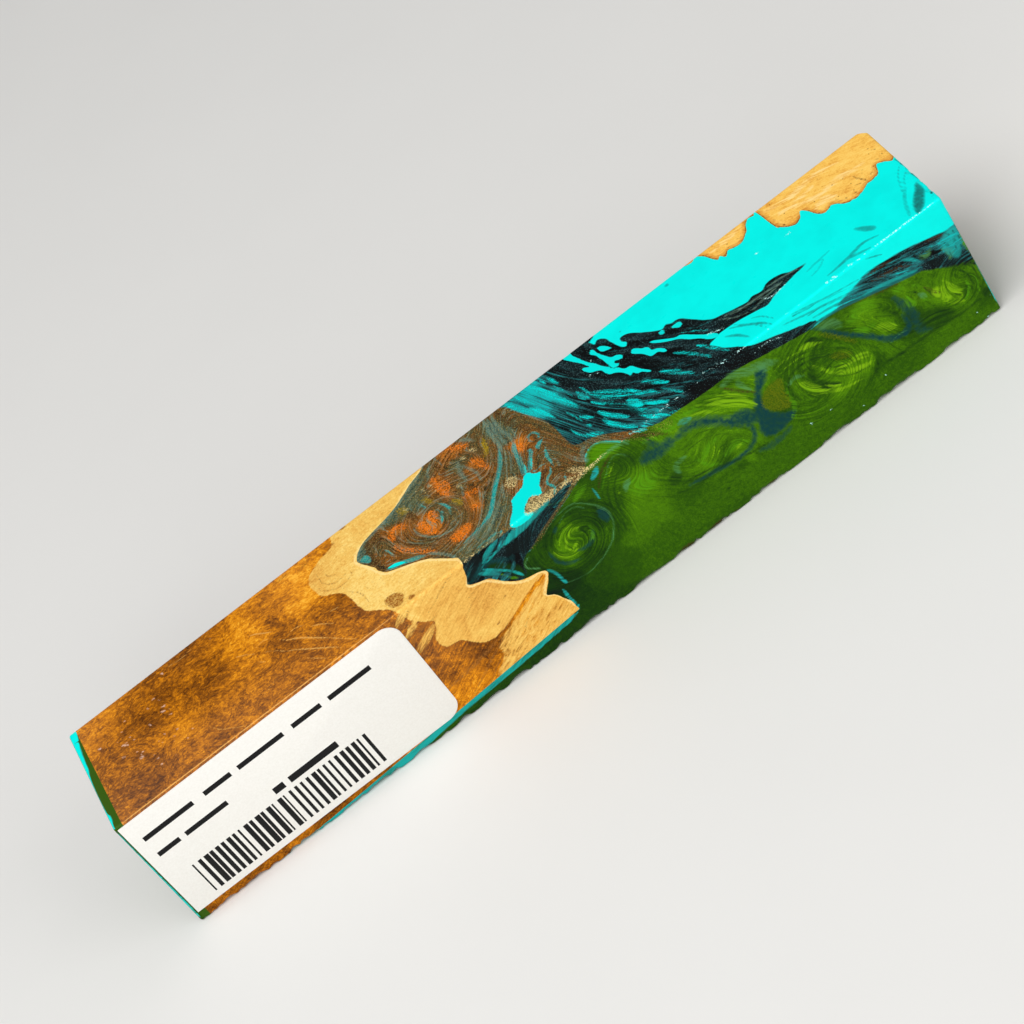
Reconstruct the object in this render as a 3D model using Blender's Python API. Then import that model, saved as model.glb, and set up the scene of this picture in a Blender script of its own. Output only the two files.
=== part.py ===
"""A pen blank sawn from burl wood cast in dyed resin, with a paper label on its front face.

The bar lies along X on its bottom face. The origin is the middle of that face, +Z is up,
and -Y is the front, which carries the label. Two pieces of burl sit in one resin casting:
a big one at the left with a live edge facing +X, and a smaller one in the top back corner.
"""

import math

import bmesh
import bpy
from mathutils import Vector, noise

MM = 0.001

# The sawn bar
LENGTH = 127.0 * MM
SIDE = 20.5 * MM
RIGHT_END_SKEW = 0.5 * MM      # the right end is sawn this much short at the front
LEFT_END_SKEW = 0.4 * MM       # the left end, this much short at the back and at the top
LONG_EDGE_ROUND = 0.3 * MM
END_EDGE_ROUND = 0.4 * MM
KNOCKED_CORNER_ROUND = 2.2 * MM  # upright edge at the back of the right end
ROUND_STEPS = 3

HALF = SIDE / 2
LEFT = -LENGTH / 2
RIGHT = LENGTH / 2

# Resin between the wood and the bar's left end, and the glue line all round the wood
LEFT_CAP = 1.3 * MM
GLUE_GAP = 0.3 * MM
OVERSHOOT = 1.5 * MM           # how far a wood block reaches past the bar before it is trimmed

# The main burl's sawn underside, a plane that rises to the right and to the back
UNDERSIDE_RISE_X = 0.064
UNDERSIDE_RISE_Y = 0.080
UNDERSIDE_MEETS_BASE_X = -52.0 * MM

# The main burl's live edge where it shows: (mm across the face, mm along the bar)
LIVE_EDGE_TOP = [  # from the back edge to the front edge of the top face
    (0.0, -6.8), (0.8, -7.6), (1.6, -9.5), (2.5, -11.0), (3.5, -12.7), (4.3, -15.0), (5.0, -17.8),
    (6.0, -19.6), (7.3, -20.5), (8.5, -20.3), (9.5, -19.8), (10.6, -19.3), (12.0, -18.9),
    (13.0, -18.2), (13.9, -16.5), (14.9, -14.5), (16.0, -13.0), (17.1, -12.0), (18.3, -11.0),
    (19.3, -10.2), (20.5, -10.1),
]
LIVE_EDGE_FRONT = [  # from the top edge down the front face
    (0.0, -10.1), (1.0, -10.5), (2.5, -10.9), (3.4, -11.1), (3.8, -10.5), (4.3, -9.2),
    (5.4, -8.0), (6.5, -7.2), (7.6, -6.0), (8.1, -5.0), (8.4, -3.7), (8.8, -2.8), (9.4, -2.5),
    (10.1, -2.8), (10.9, -3.4), (11.9, -4.2), (12.3, -4.3), (12.9, -3.6), (14.0, -2.9),
    (15.0, -2.5), (16.4, -2.2), (20.5, -2.1),
]
LIVE_EDGE_BACK = [  # from the top edge down the back face
    (0.0, -6.8), (2.0, -6.0), (4.0, -7.6), (5.5, -10.4), (7.0, -9.8), (8.5, -7.2), (10.0, -6.6),
    (12.0, -8.8), (13.5, -12.0), (15.0, -12.6), (16.5, -10.2), (18.5, -9.0), (20.5, -9.4),
]
LIVE_EDGE_BOTTOM = [(0.0, -2.1), (7.0, -4.4), (14.0, -6.0), (20.5, -9.4)]  # inside the resin
LIVE_EDGE_CELLS = 30
LUMP_HEIGHT = 0.35 * MM
LUMP_WIDTH = 2.4 * MM

# The corner burl's live edge: (mm along the bar, mm from the top back edge)
CORNER_ON_TOP = [
    (34.9, 0.35), (35.6, 0.6), (36.8, 0.3), (37.5, 1.1), (38.0, 2.6), (38.4, 3.4), (39.0, 3.2),
    (39.3, 3.8), (40.2, 3.1), (40.9, 3.5), (41.7, 3.7), (42.6, 3.3), (43.6, 2.2), (44.3, 0.9),
    (44.9, 0.45), (45.7, 0.6), (46.2, 0.9), (46.4, 4.3), (46.9, 5.9), (47.6, 6.8), (48.4, 7.3),
    (49.3, 7.0), (50.3, 5.8), (50.8, 6.8), (51.2, 8.0), (52.0, 9.1), (52.8, 8.9), (53.5, 8.7),
    (54.6, 10.0), (55.5, 10.4), (56.5, 10.5), (57.5, 10.2), (58.5, 9.6), (59.7, 9.5),
    (60.5, 8.9), (60.9, 7.8), (61.8, 8.1), (62.7, 8.9), (63.5, 8.0),
]
CORNER_ON_BACK = [
    (34.9, 0.6), (36.2, 1.6), (38.0, 3.4), (40.0, 4.6), (42.0, 4.1), (44.0, 5.6), (46.0, 8.0),
    (48.0, 9.2), (50.0, 8.4), (52.0, 10.0), (54.0, 12.2), (56.0, 13.0), (58.0, 11.8),
    (60.0, 12.6), (62.0, 13.8), (63.5, 13.4),
]
CORNER_STATIONS = 64
CORNER_ARC_STEPS = 9

# Saw tear-out along the bottom front edge, and chips knocked off the right end's top edge
TEAR_COUNT = 24
TEAR_DEPTH = 0.28 * MM
TEAR_FROM_LEFT = 7.0 * MM
TEAR_FROM_RIGHT = 5.0 * MM
TEAR_WIDTH = 0.3                # of the distance from one bite to the next
TEAR_VARIES = 0.5
END_CHIPS = [(12.4, 0.75), (15.2, 0.6), (17.6, 0.85)]  # (mm from the back edge, mm radius)

# The label on the front face
LABEL_LENGTH = 41.8 * MM
LABEL_HEIGHT = 18.7 * MM
LABEL_THICKNESS = 0.2 * MM
LABEL_FROM_END = 0.5 * MM
LABEL_FROM_TOP = 0.45 * MM
LABEL_GLUE = 0.3 * MM
LABEL_CORNER = 2.3 * MM
LABEL_CORNER_STEPS = 8

RESIN_TEAL = (0.0, 0.62, 0.55)
BURL_BROWN = (0.42, 0.20, 0.05)
BURL_CREAM = (0.80, 0.50, 0.17)
PAPER_WHITE = (0.88, 0.86, 0.81)


def clear_scene():
    for old in list(bpy.data.objects):
        bpy.data.objects.remove(old)


def new_collection(name, parent):
    made = bpy.data.collections.new(name)
    parent.children.link(made)
    return made


def surface(name, colour, roughness):
    """A plain non-metal material."""
    made = bpy.data.materials.new(name)
    made.use_nodes = True
    shader = made.node_tree.nodes["Principled BSDF"]
    shader.inputs["Base Color"].default_value = (*colour, 1.0)
    shader.inputs["Roughness"].default_value = roughness
    shader.inputs["Metallic"].default_value = 0.0
    return made


def object_from(bm, name, collection, material=None):
    """Turns a bmesh into a linked object and frees it."""
    bmesh.ops.recalc_face_normals(bm, faces=bm.faces)
    mesh = bpy.data.meshes.new(name)
    bm.to_mesh(mesh)
    bm.free()
    if material:
        mesh.materials.append(material)
    made = bpy.data.objects.new(name, mesh)
    collection.objects.link(made)
    return made


def centre_on_origin(pieces):
    """Hangs the pieces and cutters on an empty, moved so that bar and label are centred as one."""
    middle = bpy.data.objects.new("middle of the bar", None)
    bpy.context.scene.collection.objects.link(middle)
    middle.location.y = (LABEL_GLUE + LABEL_THICKNESS) / 2
    for piece in pieces:
        piece.parent = middle


def boolean(target, cutter, operation):
    step = target.modifiers.new(f"{operation.lower()} {cutter.name}", "BOOLEAN")
    step.operation = operation
    step.solver = "EXACT"
    step.object = cutter


def curve_through(points):
    """A smooth function through (position, value) points in mm, giving metres for metres."""
    def value_at(position):
        place = position / MM
        if place <= points[0][0]:
            return points[0][1] * MM
        if place >= points[-1][0]:
            return points[-1][1] * MM
        i = next(k for k in range(1, len(points)) if place <= points[k][0])
        (p0, v0), (p1, v1) = points[i - 1], points[i]
        before = points[max(i - 2, 0)]
        after = points[min(i + 1, len(points) - 1)]
        span = p1 - p0
        slope0 = (v1 - before[1]) / (p1 - before[0]) * span
        slope1 = (after[1] - v0) / (after[0] - p0) * span
        t = (place - p0) / span
        t2, t3 = t * t, t * t * t
        return MM * (
            (2 * t3 - 3 * t2 + 1) * v0 + (t3 - 2 * t2 + t) * slope0
            + (3 * t2 - 2 * t3) * v1 + (t3 - t2) * slope1
        )
    return value_at


EDGE_TOP = curve_through(LIVE_EDGE_TOP)
EDGE_FRONT = curve_through(LIVE_EDGE_FRONT)
EDGE_BACK = curve_through(LIVE_EDGE_BACK)
EDGE_BOTTOM = curve_through(LIVE_EDGE_BOTTOM)


def live_edge_x(y, z):
    """Where the main burl ends along X: a Coons patch through the live edge on the four faces."""
    y = min(max(y, -HALF), HALF)
    z = min(max(z, 0.0), SIDE)
    a = (y + HALF) / SIDE          # 0 at the front, 1 at the back
    b = z / SIDE                   # 0 at the bottom, 1 at the top
    across = (1 - a) * EDGE_FRONT(SIDE - z) + a * EDGE_BACK(SIDE - z)
    upright = (1 - b) * EDGE_BOTTOM(y + HALF) + b * EDGE_TOP(HALF - y)
    corners = (
        (1 - a) * (1 - b) * EDGE_BOTTOM(0.0) + a * (1 - b) * EDGE_BOTTOM(SIDE)
        + (1 - a) * b * EDGE_FRONT(0.0) + a * b * EDGE_BACK(0.0)
    )
    inside = 16 * a * (1 - a) * b * (1 - b)
    lumps = LUMP_HEIGHT * inside * noise.noise(Vector((y, z, 0.0)) / LUMP_WIDTH)
    return across + upright - corners + lumps


def swell(bm, grow):
    """Moves every point outward along its own normal."""
    bm.normal_update()
    outward = {vert: vert.normal.copy() for vert in bm.verts}
    for vert, normal in outward.items():
        vert.co += normal * grow


def underside_normal():
    return Vector((UNDERSIDE_RISE_X, UNDERSIDE_RISE_Y, -1.0)).normalized()


def sawn_bar(name, collection, material=None):
    """The whole bar, before any wood is let into it."""
    bm = bmesh.new()
    bmesh.ops.create_cube(bm, size=1.0)
    bmesh.ops.scale(bm, vec=(LENGTH, SIDE, SIDE), verts=bm.verts)
    bmesh.ops.translate(bm, vec=(0.0, 0.0, HALF), verts=bm.verts)
    for vert in bm.verts:
        x, y, z = vert.co
        if x > 0:
            vert.co.x -= RIGHT_END_SKEW * (y < 0)
        else:
            vert.co.x += LEFT_END_SKEW * ((y > 0) + (z > HALF))

    def middle(edge):
        return (edge.verts[0].co + edge.verts[1].co) / 2

    def round_off(edges, radius):
        bmesh.ops.bevel(
            bm, geom=edges, offset=radius, segments=ROUND_STEPS, profile=0.5, affect="EDGES"
        )

    def is_upright(edge):
        return abs(edge.verts[0].co.z - edge.verts[1].co.z) > HALF

    round_off(
        [e for e in bm.edges if is_upright(e) and middle(e).x > 0 and middle(e).y > 0],
        KNOCKED_CORNER_ROUND,
    )
    ends = [e for e in bm.edges if abs(abs(middle(e).x) - RIGHT) < 2 * RIGHT_END_SKEW]
    round_off([e for e in ends if e.calc_length() > HALF], END_EDGE_ROUND)
    long_edges = [e for e in bm.edges if e.calc_length() > LENGTH / 2]
    corners = [
        e for e in long_edges
        if min(abs(middle(e).y - HALF), abs(middle(e).y + HALF)) < MM / 100
        and min(abs(middle(e).z), abs(middle(e).z - SIDE)) < MM / 100
    ]
    round_off(corners, LONG_EDGE_ROUND)
    return object_from(bm, name, collection, material)


def live_edge_block(name, collection, material=None, grow=0.0):
    """The main burl's block, past the bar on its four sides. A cutter grows by the glue line."""
    reach = HALF + OVERSHOOT
    bm = bmesh.new()
    bmesh.ops.create_grid(
        bm, x_segments=LIVE_EDGE_CELLS, y_segments=LIVE_EDGE_CELLS, size=reach
    )
    for vert in bm.verts:
        y, z = vert.co.x, vert.co.y + HALF
        vert.co = (live_edge_x(y, z), y, z)
    swell(bm, grow)
    made = bmesh.ops.extrude_face_region(bm, geom=bm.faces[:], use_keep_orig=True)
    for vert in (g for g in made["geom"] if isinstance(g, bmesh.types.BMVert)):
        vert.co.x = LEFT + LEFT_CAP - grow
    bmesh.ops.recalc_face_normals(bm, faces=bm.faces)
    bmesh.ops.dissolve_limit(
        bm, angle_limit=math.radians(0.05), verts=bm.verts, edges=bm.edges
    )
    down = underside_normal()
    cut = bmesh.ops.bisect_plane(
        bm,
        geom=bm.verts[:] + bm.edges[:] + bm.faces[:],
        plane_co=Vector((UNDERSIDE_MEETS_BASE_X, -HALF, 0.0)) + down * grow,
        plane_no=down,
        clear_outer=True,
    )
    rim = [g for g in cut["geom_cut"] if isinstance(g, bmesh.types.BMEdge)]
    bmesh.ops.holes_fill(bm, edges=rim, sides=0)
    return object_from(bm, name, collection, material)


def corner_block(name, collection, material=None, grow=0.0):
    """The corner burl: quarter ellipses lofted along X, past the bar at the top and the back."""
    on_top = curve_through(CORNER_ON_TOP)
    on_back = curve_through(CORNER_ON_BACK)
    first = CORNER_ON_TOP[0][0] * MM
    last = RIGHT + OVERSHOOT
    bm = bmesh.new()
    rings = []
    for station in range(CORNER_STATIONS + 1):
        x = first + (last - first) * station / CORNER_STATIONS
        deep = on_top(x)
        tall = on_back(x)
        section = [(-OVERSHOOT, -OVERSHOOT), (deep, -OVERSHOOT)]
        for step in range(CORNER_ARC_STEPS + 1):
            angle = math.pi / 2 * step / CORNER_ARC_STEPS
            section.append((deep * math.cos(angle), tall * math.sin(angle)))
        section.append((-OVERSHOOT, tall))
        rings.append([bm.verts.new((x, HALF - d, SIDE - h)) for d, h in section])
    for ring, following in zip(rings, rings[1:]):
        for i in range(len(ring)):
            j = (i + 1) % len(ring)
            bm.faces.new((ring[i], ring[j], following[j], following[i]))
    bm.faces.new(rings[0])
    bm.faces.new(list(reversed(rings[-1])))
    bmesh.ops.recalc_face_normals(bm, faces=bm.faces)
    swell(bm, grow)
    bmesh.ops.triangulate(bm, faces=bm.faces)
    return object_from(bm, name, collection, material)


def chip_cutters(name, collection):
    """Small facetted bites: saw tear-out along the bottom front edge, and the end's chips."""
    bm = bmesh.new()

    def bite(centre, size, turn):
        made = bmesh.ops.create_icosphere(bm, subdivisions=1, radius=1.0)["verts"]
        for vert in made:
            x, y, z = vert.co
            wide, deep, tall = size
            vert.co = centre + Vector((
                wide * (x * math.cos(turn) - y * math.sin(turn)),
                deep * (x * math.sin(turn) + y * math.cos(turn)),
                tall * z,
            ))

    pitch = (LENGTH - TEAR_FROM_LEFT - TEAR_FROM_RIGHT) / TEAR_COUNT
    for k in range(TEAR_COUNT):
        along = TEAR_VARIES * noise.noise(Vector((k * 1.7, 3.1, 0.4)))
        deeper = TEAR_VARIES * noise.noise(Vector((k * 2.3, 0.7, 5.2)))
        x = LEFT + TEAR_FROM_LEFT + pitch * (k + 0.5 + along)
        depth = TEAR_DEPTH * (1.0 + deeper)
        wide = pitch * TEAR_WIDTH * (1.0 + along)
        bite(Vector((x, -HALF, 0.0)), (wide, depth, depth), 0.6 * k)
    for from_back, radius in END_CHIPS:
        y = HALF - from_back * MM
        x = RIGHT - RIGHT_END_SKEW * from_back * MM / SIDE
        bite(Vector((x, y, SIDE)), (0.6 * radius * MM, radius * MM, 0.7 * radius * MM), from_back)
    return object_from(bm, name, collection)


def paper_label(name, collection, material):
    """A thin card with two rounded corners at its right end."""
    bm = bmesh.new()
    bmesh.ops.create_cube(bm, size=1.0)
    bmesh.ops.scale(bm, vec=(LABEL_LENGTH, LABEL_THICKNESS, LABEL_HEIGHT), verts=bm.verts)
    right_edges = [
        e for e in bm.edges
        if min(v.co.x for v in e.verts) > 0 and abs(e.verts[0].co.z - e.verts[1].co.z) < MM / 100
    ]
    bmesh.ops.bevel(
        bm, geom=right_edges, offset=LABEL_CORNER, segments=LABEL_CORNER_STEPS,
        profile=0.5, affect="EDGES",
    )
    made = object_from(bm, name, collection, material)
    made.location = (
        LEFT + LABEL_FROM_END + LABEL_LENGTH / 2,
        -HALF - LABEL_GLUE - LABEL_THICKNESS / 2,
        SIDE - LABEL_FROM_TOP - LABEL_HEIGHT / 2,
    )
    return made


def build():
    clear_scene()
    root = bpy.context.scene.collection
    parts = new_collection("pen blank", root)
    cutters = new_collection("cutters", root)

    resin = sawn_bar("resin", parts, surface("dyed resin", RESIN_TEAL, 0.25))
    main = live_edge_block("burl_main", parts, surface("burl heartwood", BURL_BROWN, 0.4))
    corner = corner_block("burl_corner", parts, surface("burl sapwood", BURL_CREAM, 0.4))
    paper_label("label", parts, surface("label paper", PAPER_WHITE, 0.6))

    outline = sawn_bar("bar outline", cutters)
    main_recess = live_edge_block("main recess", cutters, grow=GLUE_GAP)
    corner_recess = corner_block("corner recess", cutters, grow=GLUE_GAP)
    chips = chip_cutters("chips", cutters)
    for cutter in (outline, main_recess, corner_recess, chips):
        cutter.hide_render = True
        cutter.display_type = "WIRE"

    boolean(resin, main_recess, "DIFFERENCE")
    boolean(resin, corner_recess, "DIFFERENCE")
    boolean(resin, chips, "DIFFERENCE")
    for wood in (main, corner):
        boolean(wood, outline, "INTERSECT")
        boolean(wood, chips, "DIFFERENCE")
    centre_on_origin([*parts.objects, *cutters.objects])


build()
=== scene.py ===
"""Looks for a hybrid pen blank: burl wood cast in marbled resin, sawn square, with a paper label.

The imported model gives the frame. The casting, the two pieces of burl and the label are each
rebuilt as a fine mesh in the place of their solid, so that wood and resin meet flush. Patterns
are laid out on the bar's long faces unrolled into one sheet: the first coordinate is the place
along the bar, the second runs around it, from the top back edge over the top, down the front
and back along the underside. The back face has the second coordinate below zero. A path on the
sheet is written as text, "along,around along,around ...", in mm.
"""

import logging
import math
from dataclasses import dataclass, field, replace
from enum import Enum, IntEnum
from typing import Iterable, Iterator

import bmesh
import bpy
import numpy as np
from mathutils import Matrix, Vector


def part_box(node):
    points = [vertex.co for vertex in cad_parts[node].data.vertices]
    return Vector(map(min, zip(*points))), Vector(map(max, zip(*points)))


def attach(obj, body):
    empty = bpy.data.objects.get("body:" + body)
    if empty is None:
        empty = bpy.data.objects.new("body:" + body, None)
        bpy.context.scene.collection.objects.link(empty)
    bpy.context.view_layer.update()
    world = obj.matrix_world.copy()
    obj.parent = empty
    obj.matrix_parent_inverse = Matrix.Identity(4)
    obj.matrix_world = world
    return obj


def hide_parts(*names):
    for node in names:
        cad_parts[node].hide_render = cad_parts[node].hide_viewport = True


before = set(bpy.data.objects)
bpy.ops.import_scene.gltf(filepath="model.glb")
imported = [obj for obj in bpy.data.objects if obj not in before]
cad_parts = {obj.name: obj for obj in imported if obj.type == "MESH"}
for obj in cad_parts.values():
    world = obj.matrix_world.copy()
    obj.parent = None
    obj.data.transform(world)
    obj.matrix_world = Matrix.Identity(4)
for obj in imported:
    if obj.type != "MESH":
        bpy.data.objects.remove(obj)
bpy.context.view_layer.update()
log = logging.getLogger("pen_blank")

MM = 0.001

# Coverage from minus this to this becomes a share of the surface from none to all.
FADE = 0.4

Point = tuple[float, float]
Place = tuple[float, float, float]
Box = tuple[float, float, float, float]
Outline = tuple[Point, ...]
Colour = tuple[float, float, float]
Stops = tuple[tuple[float, Colour], ...]
Socket = bpy.types.NodeSocket


class Face(Enum):
    """The faces of the bar."""

    TOP = "top"
    FRONT = "front"
    BACK = "back"
    UNDERSIDE = "underside"
    LEFT_END = "left end"
    RIGHT_END = "right end"


class Cut(Enum):
    """What a cutter does to the sawn bar."""

    KEEP_INSIDE = "INTERSECT"
    TAKE_AWAY = "DIFFERENCE"


class Seed(IntEnum):
    """Which noise each roughness of a shape follows."""

    MAIN_RIPPLE = 3
    MAIN_FINE_RIPPLE = 4
    TEAR = 7
    FINE_TEAR = 8
    CORNER_ON_TOP = 11
    CORNER_ON_BACK = 12


# Numbers along curves


def curve_through(outline: Outline, places: np.ndarray) -> np.ndarray:
    """Reads a smooth curve through (place, value) points.

    Args:
        outline: Points in order of place.
        places: Where to read it.

    Returns:
        The values there, held at the end values beyond the ends.
    """
    at = np.array([p for p, _ in outline])
    value = np.array([v for _, v in outline])
    slope = np.gradient(value, at)
    places = np.clip(places, at[0], at[-1])
    i = np.clip(np.searchsorted(at, places, side="right") - 1, 0, len(at) - 2)
    span = at[i + 1] - at[i]
    t = (places - at[i]) / span
    t2, t3 = t * t, t * t * t
    return (
        (2 * t3 - 3 * t2 + 1) * value[i]
        + (t3 - 2 * t2 + t) * slope[i] * span
        + (3 * t2 - 2 * t3) * value[i + 1]
        + (t3 - t2) * slope[i + 1] * span
    )


def smooth_path(points: np.ndarray, closed: bool, steps: int = 5) -> np.ndarray:
    """Rounds a given path off.

    Args:
        points: The path's points, one a row.
        closed: Whether the last point joins the first.
        steps: How many short runs each stretch becomes.

    Returns:
        The rounded path's points, one a row.
    """
    p = points
    if closed:
        before, after, beyond = np.roll(p, 1, 0), np.roll(p, -1, 0), np.roll(p, -2, 0)
        start = p
    else:
        padded = np.vstack([2 * p[0] - p[1], p, 2 * p[-1] - p[-2]])
        before, start, after, beyond = padded[:-3], padded[1:-2], padded[2:-1], padded[3:]
    t = (np.arange(steps) / steps)[None, :, None]
    b, s, a, c = (q[:, None, :] for q in (before, start, after, beyond))
    run = 0.5 * (
        2 * s + (a - b) * t + (2 * b - 5 * s + 4 * a - c) * t**2
        + (3 * s - b - 3 * a + c) * t**3
    )
    run = run.reshape(-1, 2)
    return np.vstack([run, run[:1]]) if closed else np.vstack([run, p[-1:]])


def lattice_noise(x: np.ndarray, y: np.ndarray, seed: int) -> np.ndarray:
    """Smooth noise from -1 to 1 that changes over about one unit.

    Args:
        x: First coordinate.
        y: Second coordinate.
        seed: Which noise.

    Returns:
        The noise at each place.
    """
    xi, yi = np.floor(x).astype(np.int64), np.floor(y).astype(np.int64)
    fx, fy = x - xi, y - yi
    fx, fy = fx * fx * (3 - 2 * fx), fy * fy * (3 - 2 * fy)

    def corner(dx: int, dy: int) -> np.ndarray:
        """The lattice value at one corner of each cell."""
        h = (xi + dx) * 374761393 + (yi + dy) * 668265263 + seed * 974634777
        h = (h ^ (h >> 13)) * 1274126177
        return ((h ^ (h >> 16)) & 0xFFFF) / 32767.5 - 1.0

    low = corner(0, 0) * (1 - fx) + corner(1, 0) * fx
    high = corner(0, 1) * (1 - fx) + corner(1, 1) * fx
    return low * (1 - fy) + high * fy


# Marks on the unrolled sheet


def read_points(text: str) -> np.ndarray:
    """Reads places written as numbers with commas, and a space after each place, into rows."""
    return np.array([[float(number) for number in place.split(",")] for place in text.split()])


def distance_to_path(
    x: np.ndarray, v: np.ndarray, path: np.ndarray, widths: np.ndarray
) -> np.ndarray:
    """How far inside a path's width each place is, in mm; negative outside.

    Args:
        x: Places along the bar.
        v: Places around the bar.
        path: The path's points, one a row.
        widths: Half-width at each point.

    Returns:
        Half-width less distance, at the nearest stretch.
    """
    best = np.full(x.shape, -1e9)
    for (ax, av), (bx, bv), wa, wb in zip(path[:-1], path[1:], widths[:-1], widths[1:]):
        dx, dv = bx - ax, bv - av
        t = np.clip(((x - ax) * dx + (v - av) * dv) / max(dx * dx + dv * dv, 1e-12), 0, 1)
        far = np.hypot(x - ax - t * dx, v - av - t * dv)
        np.maximum(best, wa + (wb - wa) * t - far, out=best)
    return best


def ceiling(strength: float) -> float:
    """The coverage at which a mark stops, so that it takes its share of the surface and no more."""
    return 1.0 if strength >= 1 else (2 * strength - 1) * FADE


@dataclass(frozen=True)
class Streak:
    """A streak of colour: a path that tapers to both ends.

    width is its half-width in mm where it is fullest, soft the mm over which its edge fades,
    strength how far it covers what lies under it, and taper the share of its length that each
    end takes to reach its full width. Its tips are a share of that width.
    """

    points: np.ndarray
    width: float
    soft: float = 0.25
    strength: float = 1.0
    taper: float = 0.35
    tip: float = 0.12
    bulge: float = 0.7

    def cover(self, x: np.ndarray, v: np.ndarray) -> np.ndarray:
        """Coverage in half-fades: 1 and over is inside, -1 and under is outside."""
        path = smooth_path(self.points, closed=False)
        t = np.linspace(0, 1, len(path))
        ends = np.minimum(t, 1 - t) / max(self.taper, 1e-6)
        widths = self.width * np.clip(ends, self.tip, 1.0) ** self.bulge
        inside = distance_to_path(x, v, path, widths)
        return np.minimum(inside / self.soft, ceiling(self.strength))


@dataclass(frozen=True)
class Patch:
    """A filled area with a smooth outline, with the same edge and strength as a streak."""

    points: np.ndarray
    soft: float = 0.25
    strength: float = 1.0

    def cover(self, x: np.ndarray, v: np.ndarray) -> np.ndarray:
        """Coverage in half-fades: 1 and over is inside, -1 and under is outside."""
        path = smooth_path(self.points, closed=True, steps=4)
        edge = -distance_to_path(x, v, path, np.zeros(len(path)))
        inside = np.zeros(x.shape, bool)
        for (ax, av), (bx, bv) in zip(path[:-1], path[1:]):
            crosses = (av > v) != (bv > v)
            if abs(bv - av) > 1e-12:
                inside ^= crosses & (x < ax + (v - av) * (bx - ax) / (bv - av))
        signed = np.where(inside, edge, -edge)
        return np.minimum(signed / self.soft, ceiling(self.strength))


@dataclass(frozen=True)
class Chips:
    """Small chips strewn along a line.

    size is the half-width in mm of the largest, and stray how far they lie off the line.
    """

    start: Point
    end: Point
    count: int
    size: float
    stray: float
    smallest: float = 0.35
    length: float = 0.1
    stretch: float = 1.6
    fall: float = 0.3
    soft: float = 0.08
    taper: float = 0.6

    def streaks(self) -> Iterator[Streak]:
        """Draws each chip as a short streak."""
        (x0, v0), (x1, v1) = self.start, self.end
        seed = abs(round(10 * (x0 + x1) + self.count))
        for on, off, large, long in np.random.default_rng(seed).random((self.count, 4)):
            x = x0 + (x1 - x0) * on
            v = v0 + (v1 - v0) * on + (off - 0.5) * 2 * self.stray
            width = self.size * (self.smallest + (1 - self.smallest) * large**2)
            tip = (x + self.length + self.stretch * width * long, v - self.fall * width)
            yield Streak(np.array([(x, v), tip]), width, self.soft, taper=self.taper)


@dataclass(frozen=True)
class Layer:
    """One colour's marks, read as a single coverage.

    A row of patches holds an outline and what else a Patch takes, a row of streaks a path and
    what else a Streak takes, and a row of chips what Chips take. bleed widens every fading edge.
    """

    name: str
    bleed: float = 1.0
    reach: float = 4.0
    patches: tuple[tuple, ...] = ()
    streaks: tuple[tuple, ...] = ()
    chips: tuple[tuple, ...] = ()

    def marks(self) -> Iterator[Streak | Patch]:
        """Draws the marks."""
        yield from (Patch(read_points(text), *rest) for text, *rest in self.patches)
        yield from (Streak(read_points(text), *rest) for text, *rest in self.streaks)
        for row in self.chips:
            yield from Chips(*row).streaks()

    def cover(self, x: np.ndarray, v: np.ndarray) -> np.ndarray:
        """Reads the layer.

        Args:
            x: Places along the bar, mm.
            v: Places around the bar, mm.

        Returns:
            Coverage from -1 to 1.
        """
        best = np.full(x.shape, -1.0)
        for mark in self.marks():
            low, high = mark.points.min(0) - self.reach, mark.points.max(0) + self.reach
            near = (x > low[0]) & (x < high[0]) & (v > low[1]) & (v < high[1])
            if near.any():
                wide = replace(mark, soft=mark.soft * self.bleed)
                best[near] = np.maximum(best[near], wide.cover(x[near], v[near]))
        return np.clip(best, -1.0, 1.0)


@dataclass(frozen=True)
class Tone:
    """A value that drifts over the sheet, held by marks written as "along,around,value ...".

    spread is the reach of each mark in mm, and far its weight in places that no mark reaches.
    """

    name: str
    spread: float
    marks: str
    far: float = 0.02

    def read(self, x: np.ndarray, v: np.ndarray) -> np.ndarray:
        """Reads the drifting value.

        Args:
            x: Places along the bar, mm.
            v: Places around the bar, mm.

        Returns:
            The value at each place.
        """
        total, weight = np.zeros(x.shape), np.zeros(x.shape)
        for mx, mv, value in read_points(self.marks):
            square = (x - mx) ** 2 + (v - mv) ** 2
            near = np.exp(-square / (2 * self.spread**2))
            near += self.far / (1 + square / self.spread**2) ** 2
            total += near * value
            weight += near
        return total / weight


@dataclass(frozen=True)
class Eddy:
    """A turn stirred into the resin."""

    centre: Point
    radius: float
    turns: float


@dataclass(frozen=True)
class Flow:
    """The stirring of the casting: long streaks that fan out at the left, and eddies in them."""

    drop: Outline
    eddies: tuple[Eddy, ...]

    def read(self, x: np.ndarray, v: np.ndarray) -> tuple[np.ndarray, np.ndarray]:
        """Follows the stirring back.

        Args:
            x: Places along the bar, mm.
            v: Places around the bar, mm.

        Returns:
            How far along and how far across the streaks each place is, mm.
        """
        for eddy in self.eddies:
            cx, cv = eddy.centre
            dx, dv = x - cx, v - cv
            angle = 2 * math.pi * eddy.turns * np.exp(-(dx**2 + dv**2) / eddy.radius**2)
            c, s = np.cos(angle), np.sin(angle)
            x, v = cx + c * dx - s * dv, cv + s * dx + c * dv
        return x, v - curve_through(self.drop, x)


# The bar and the wood in it


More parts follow.
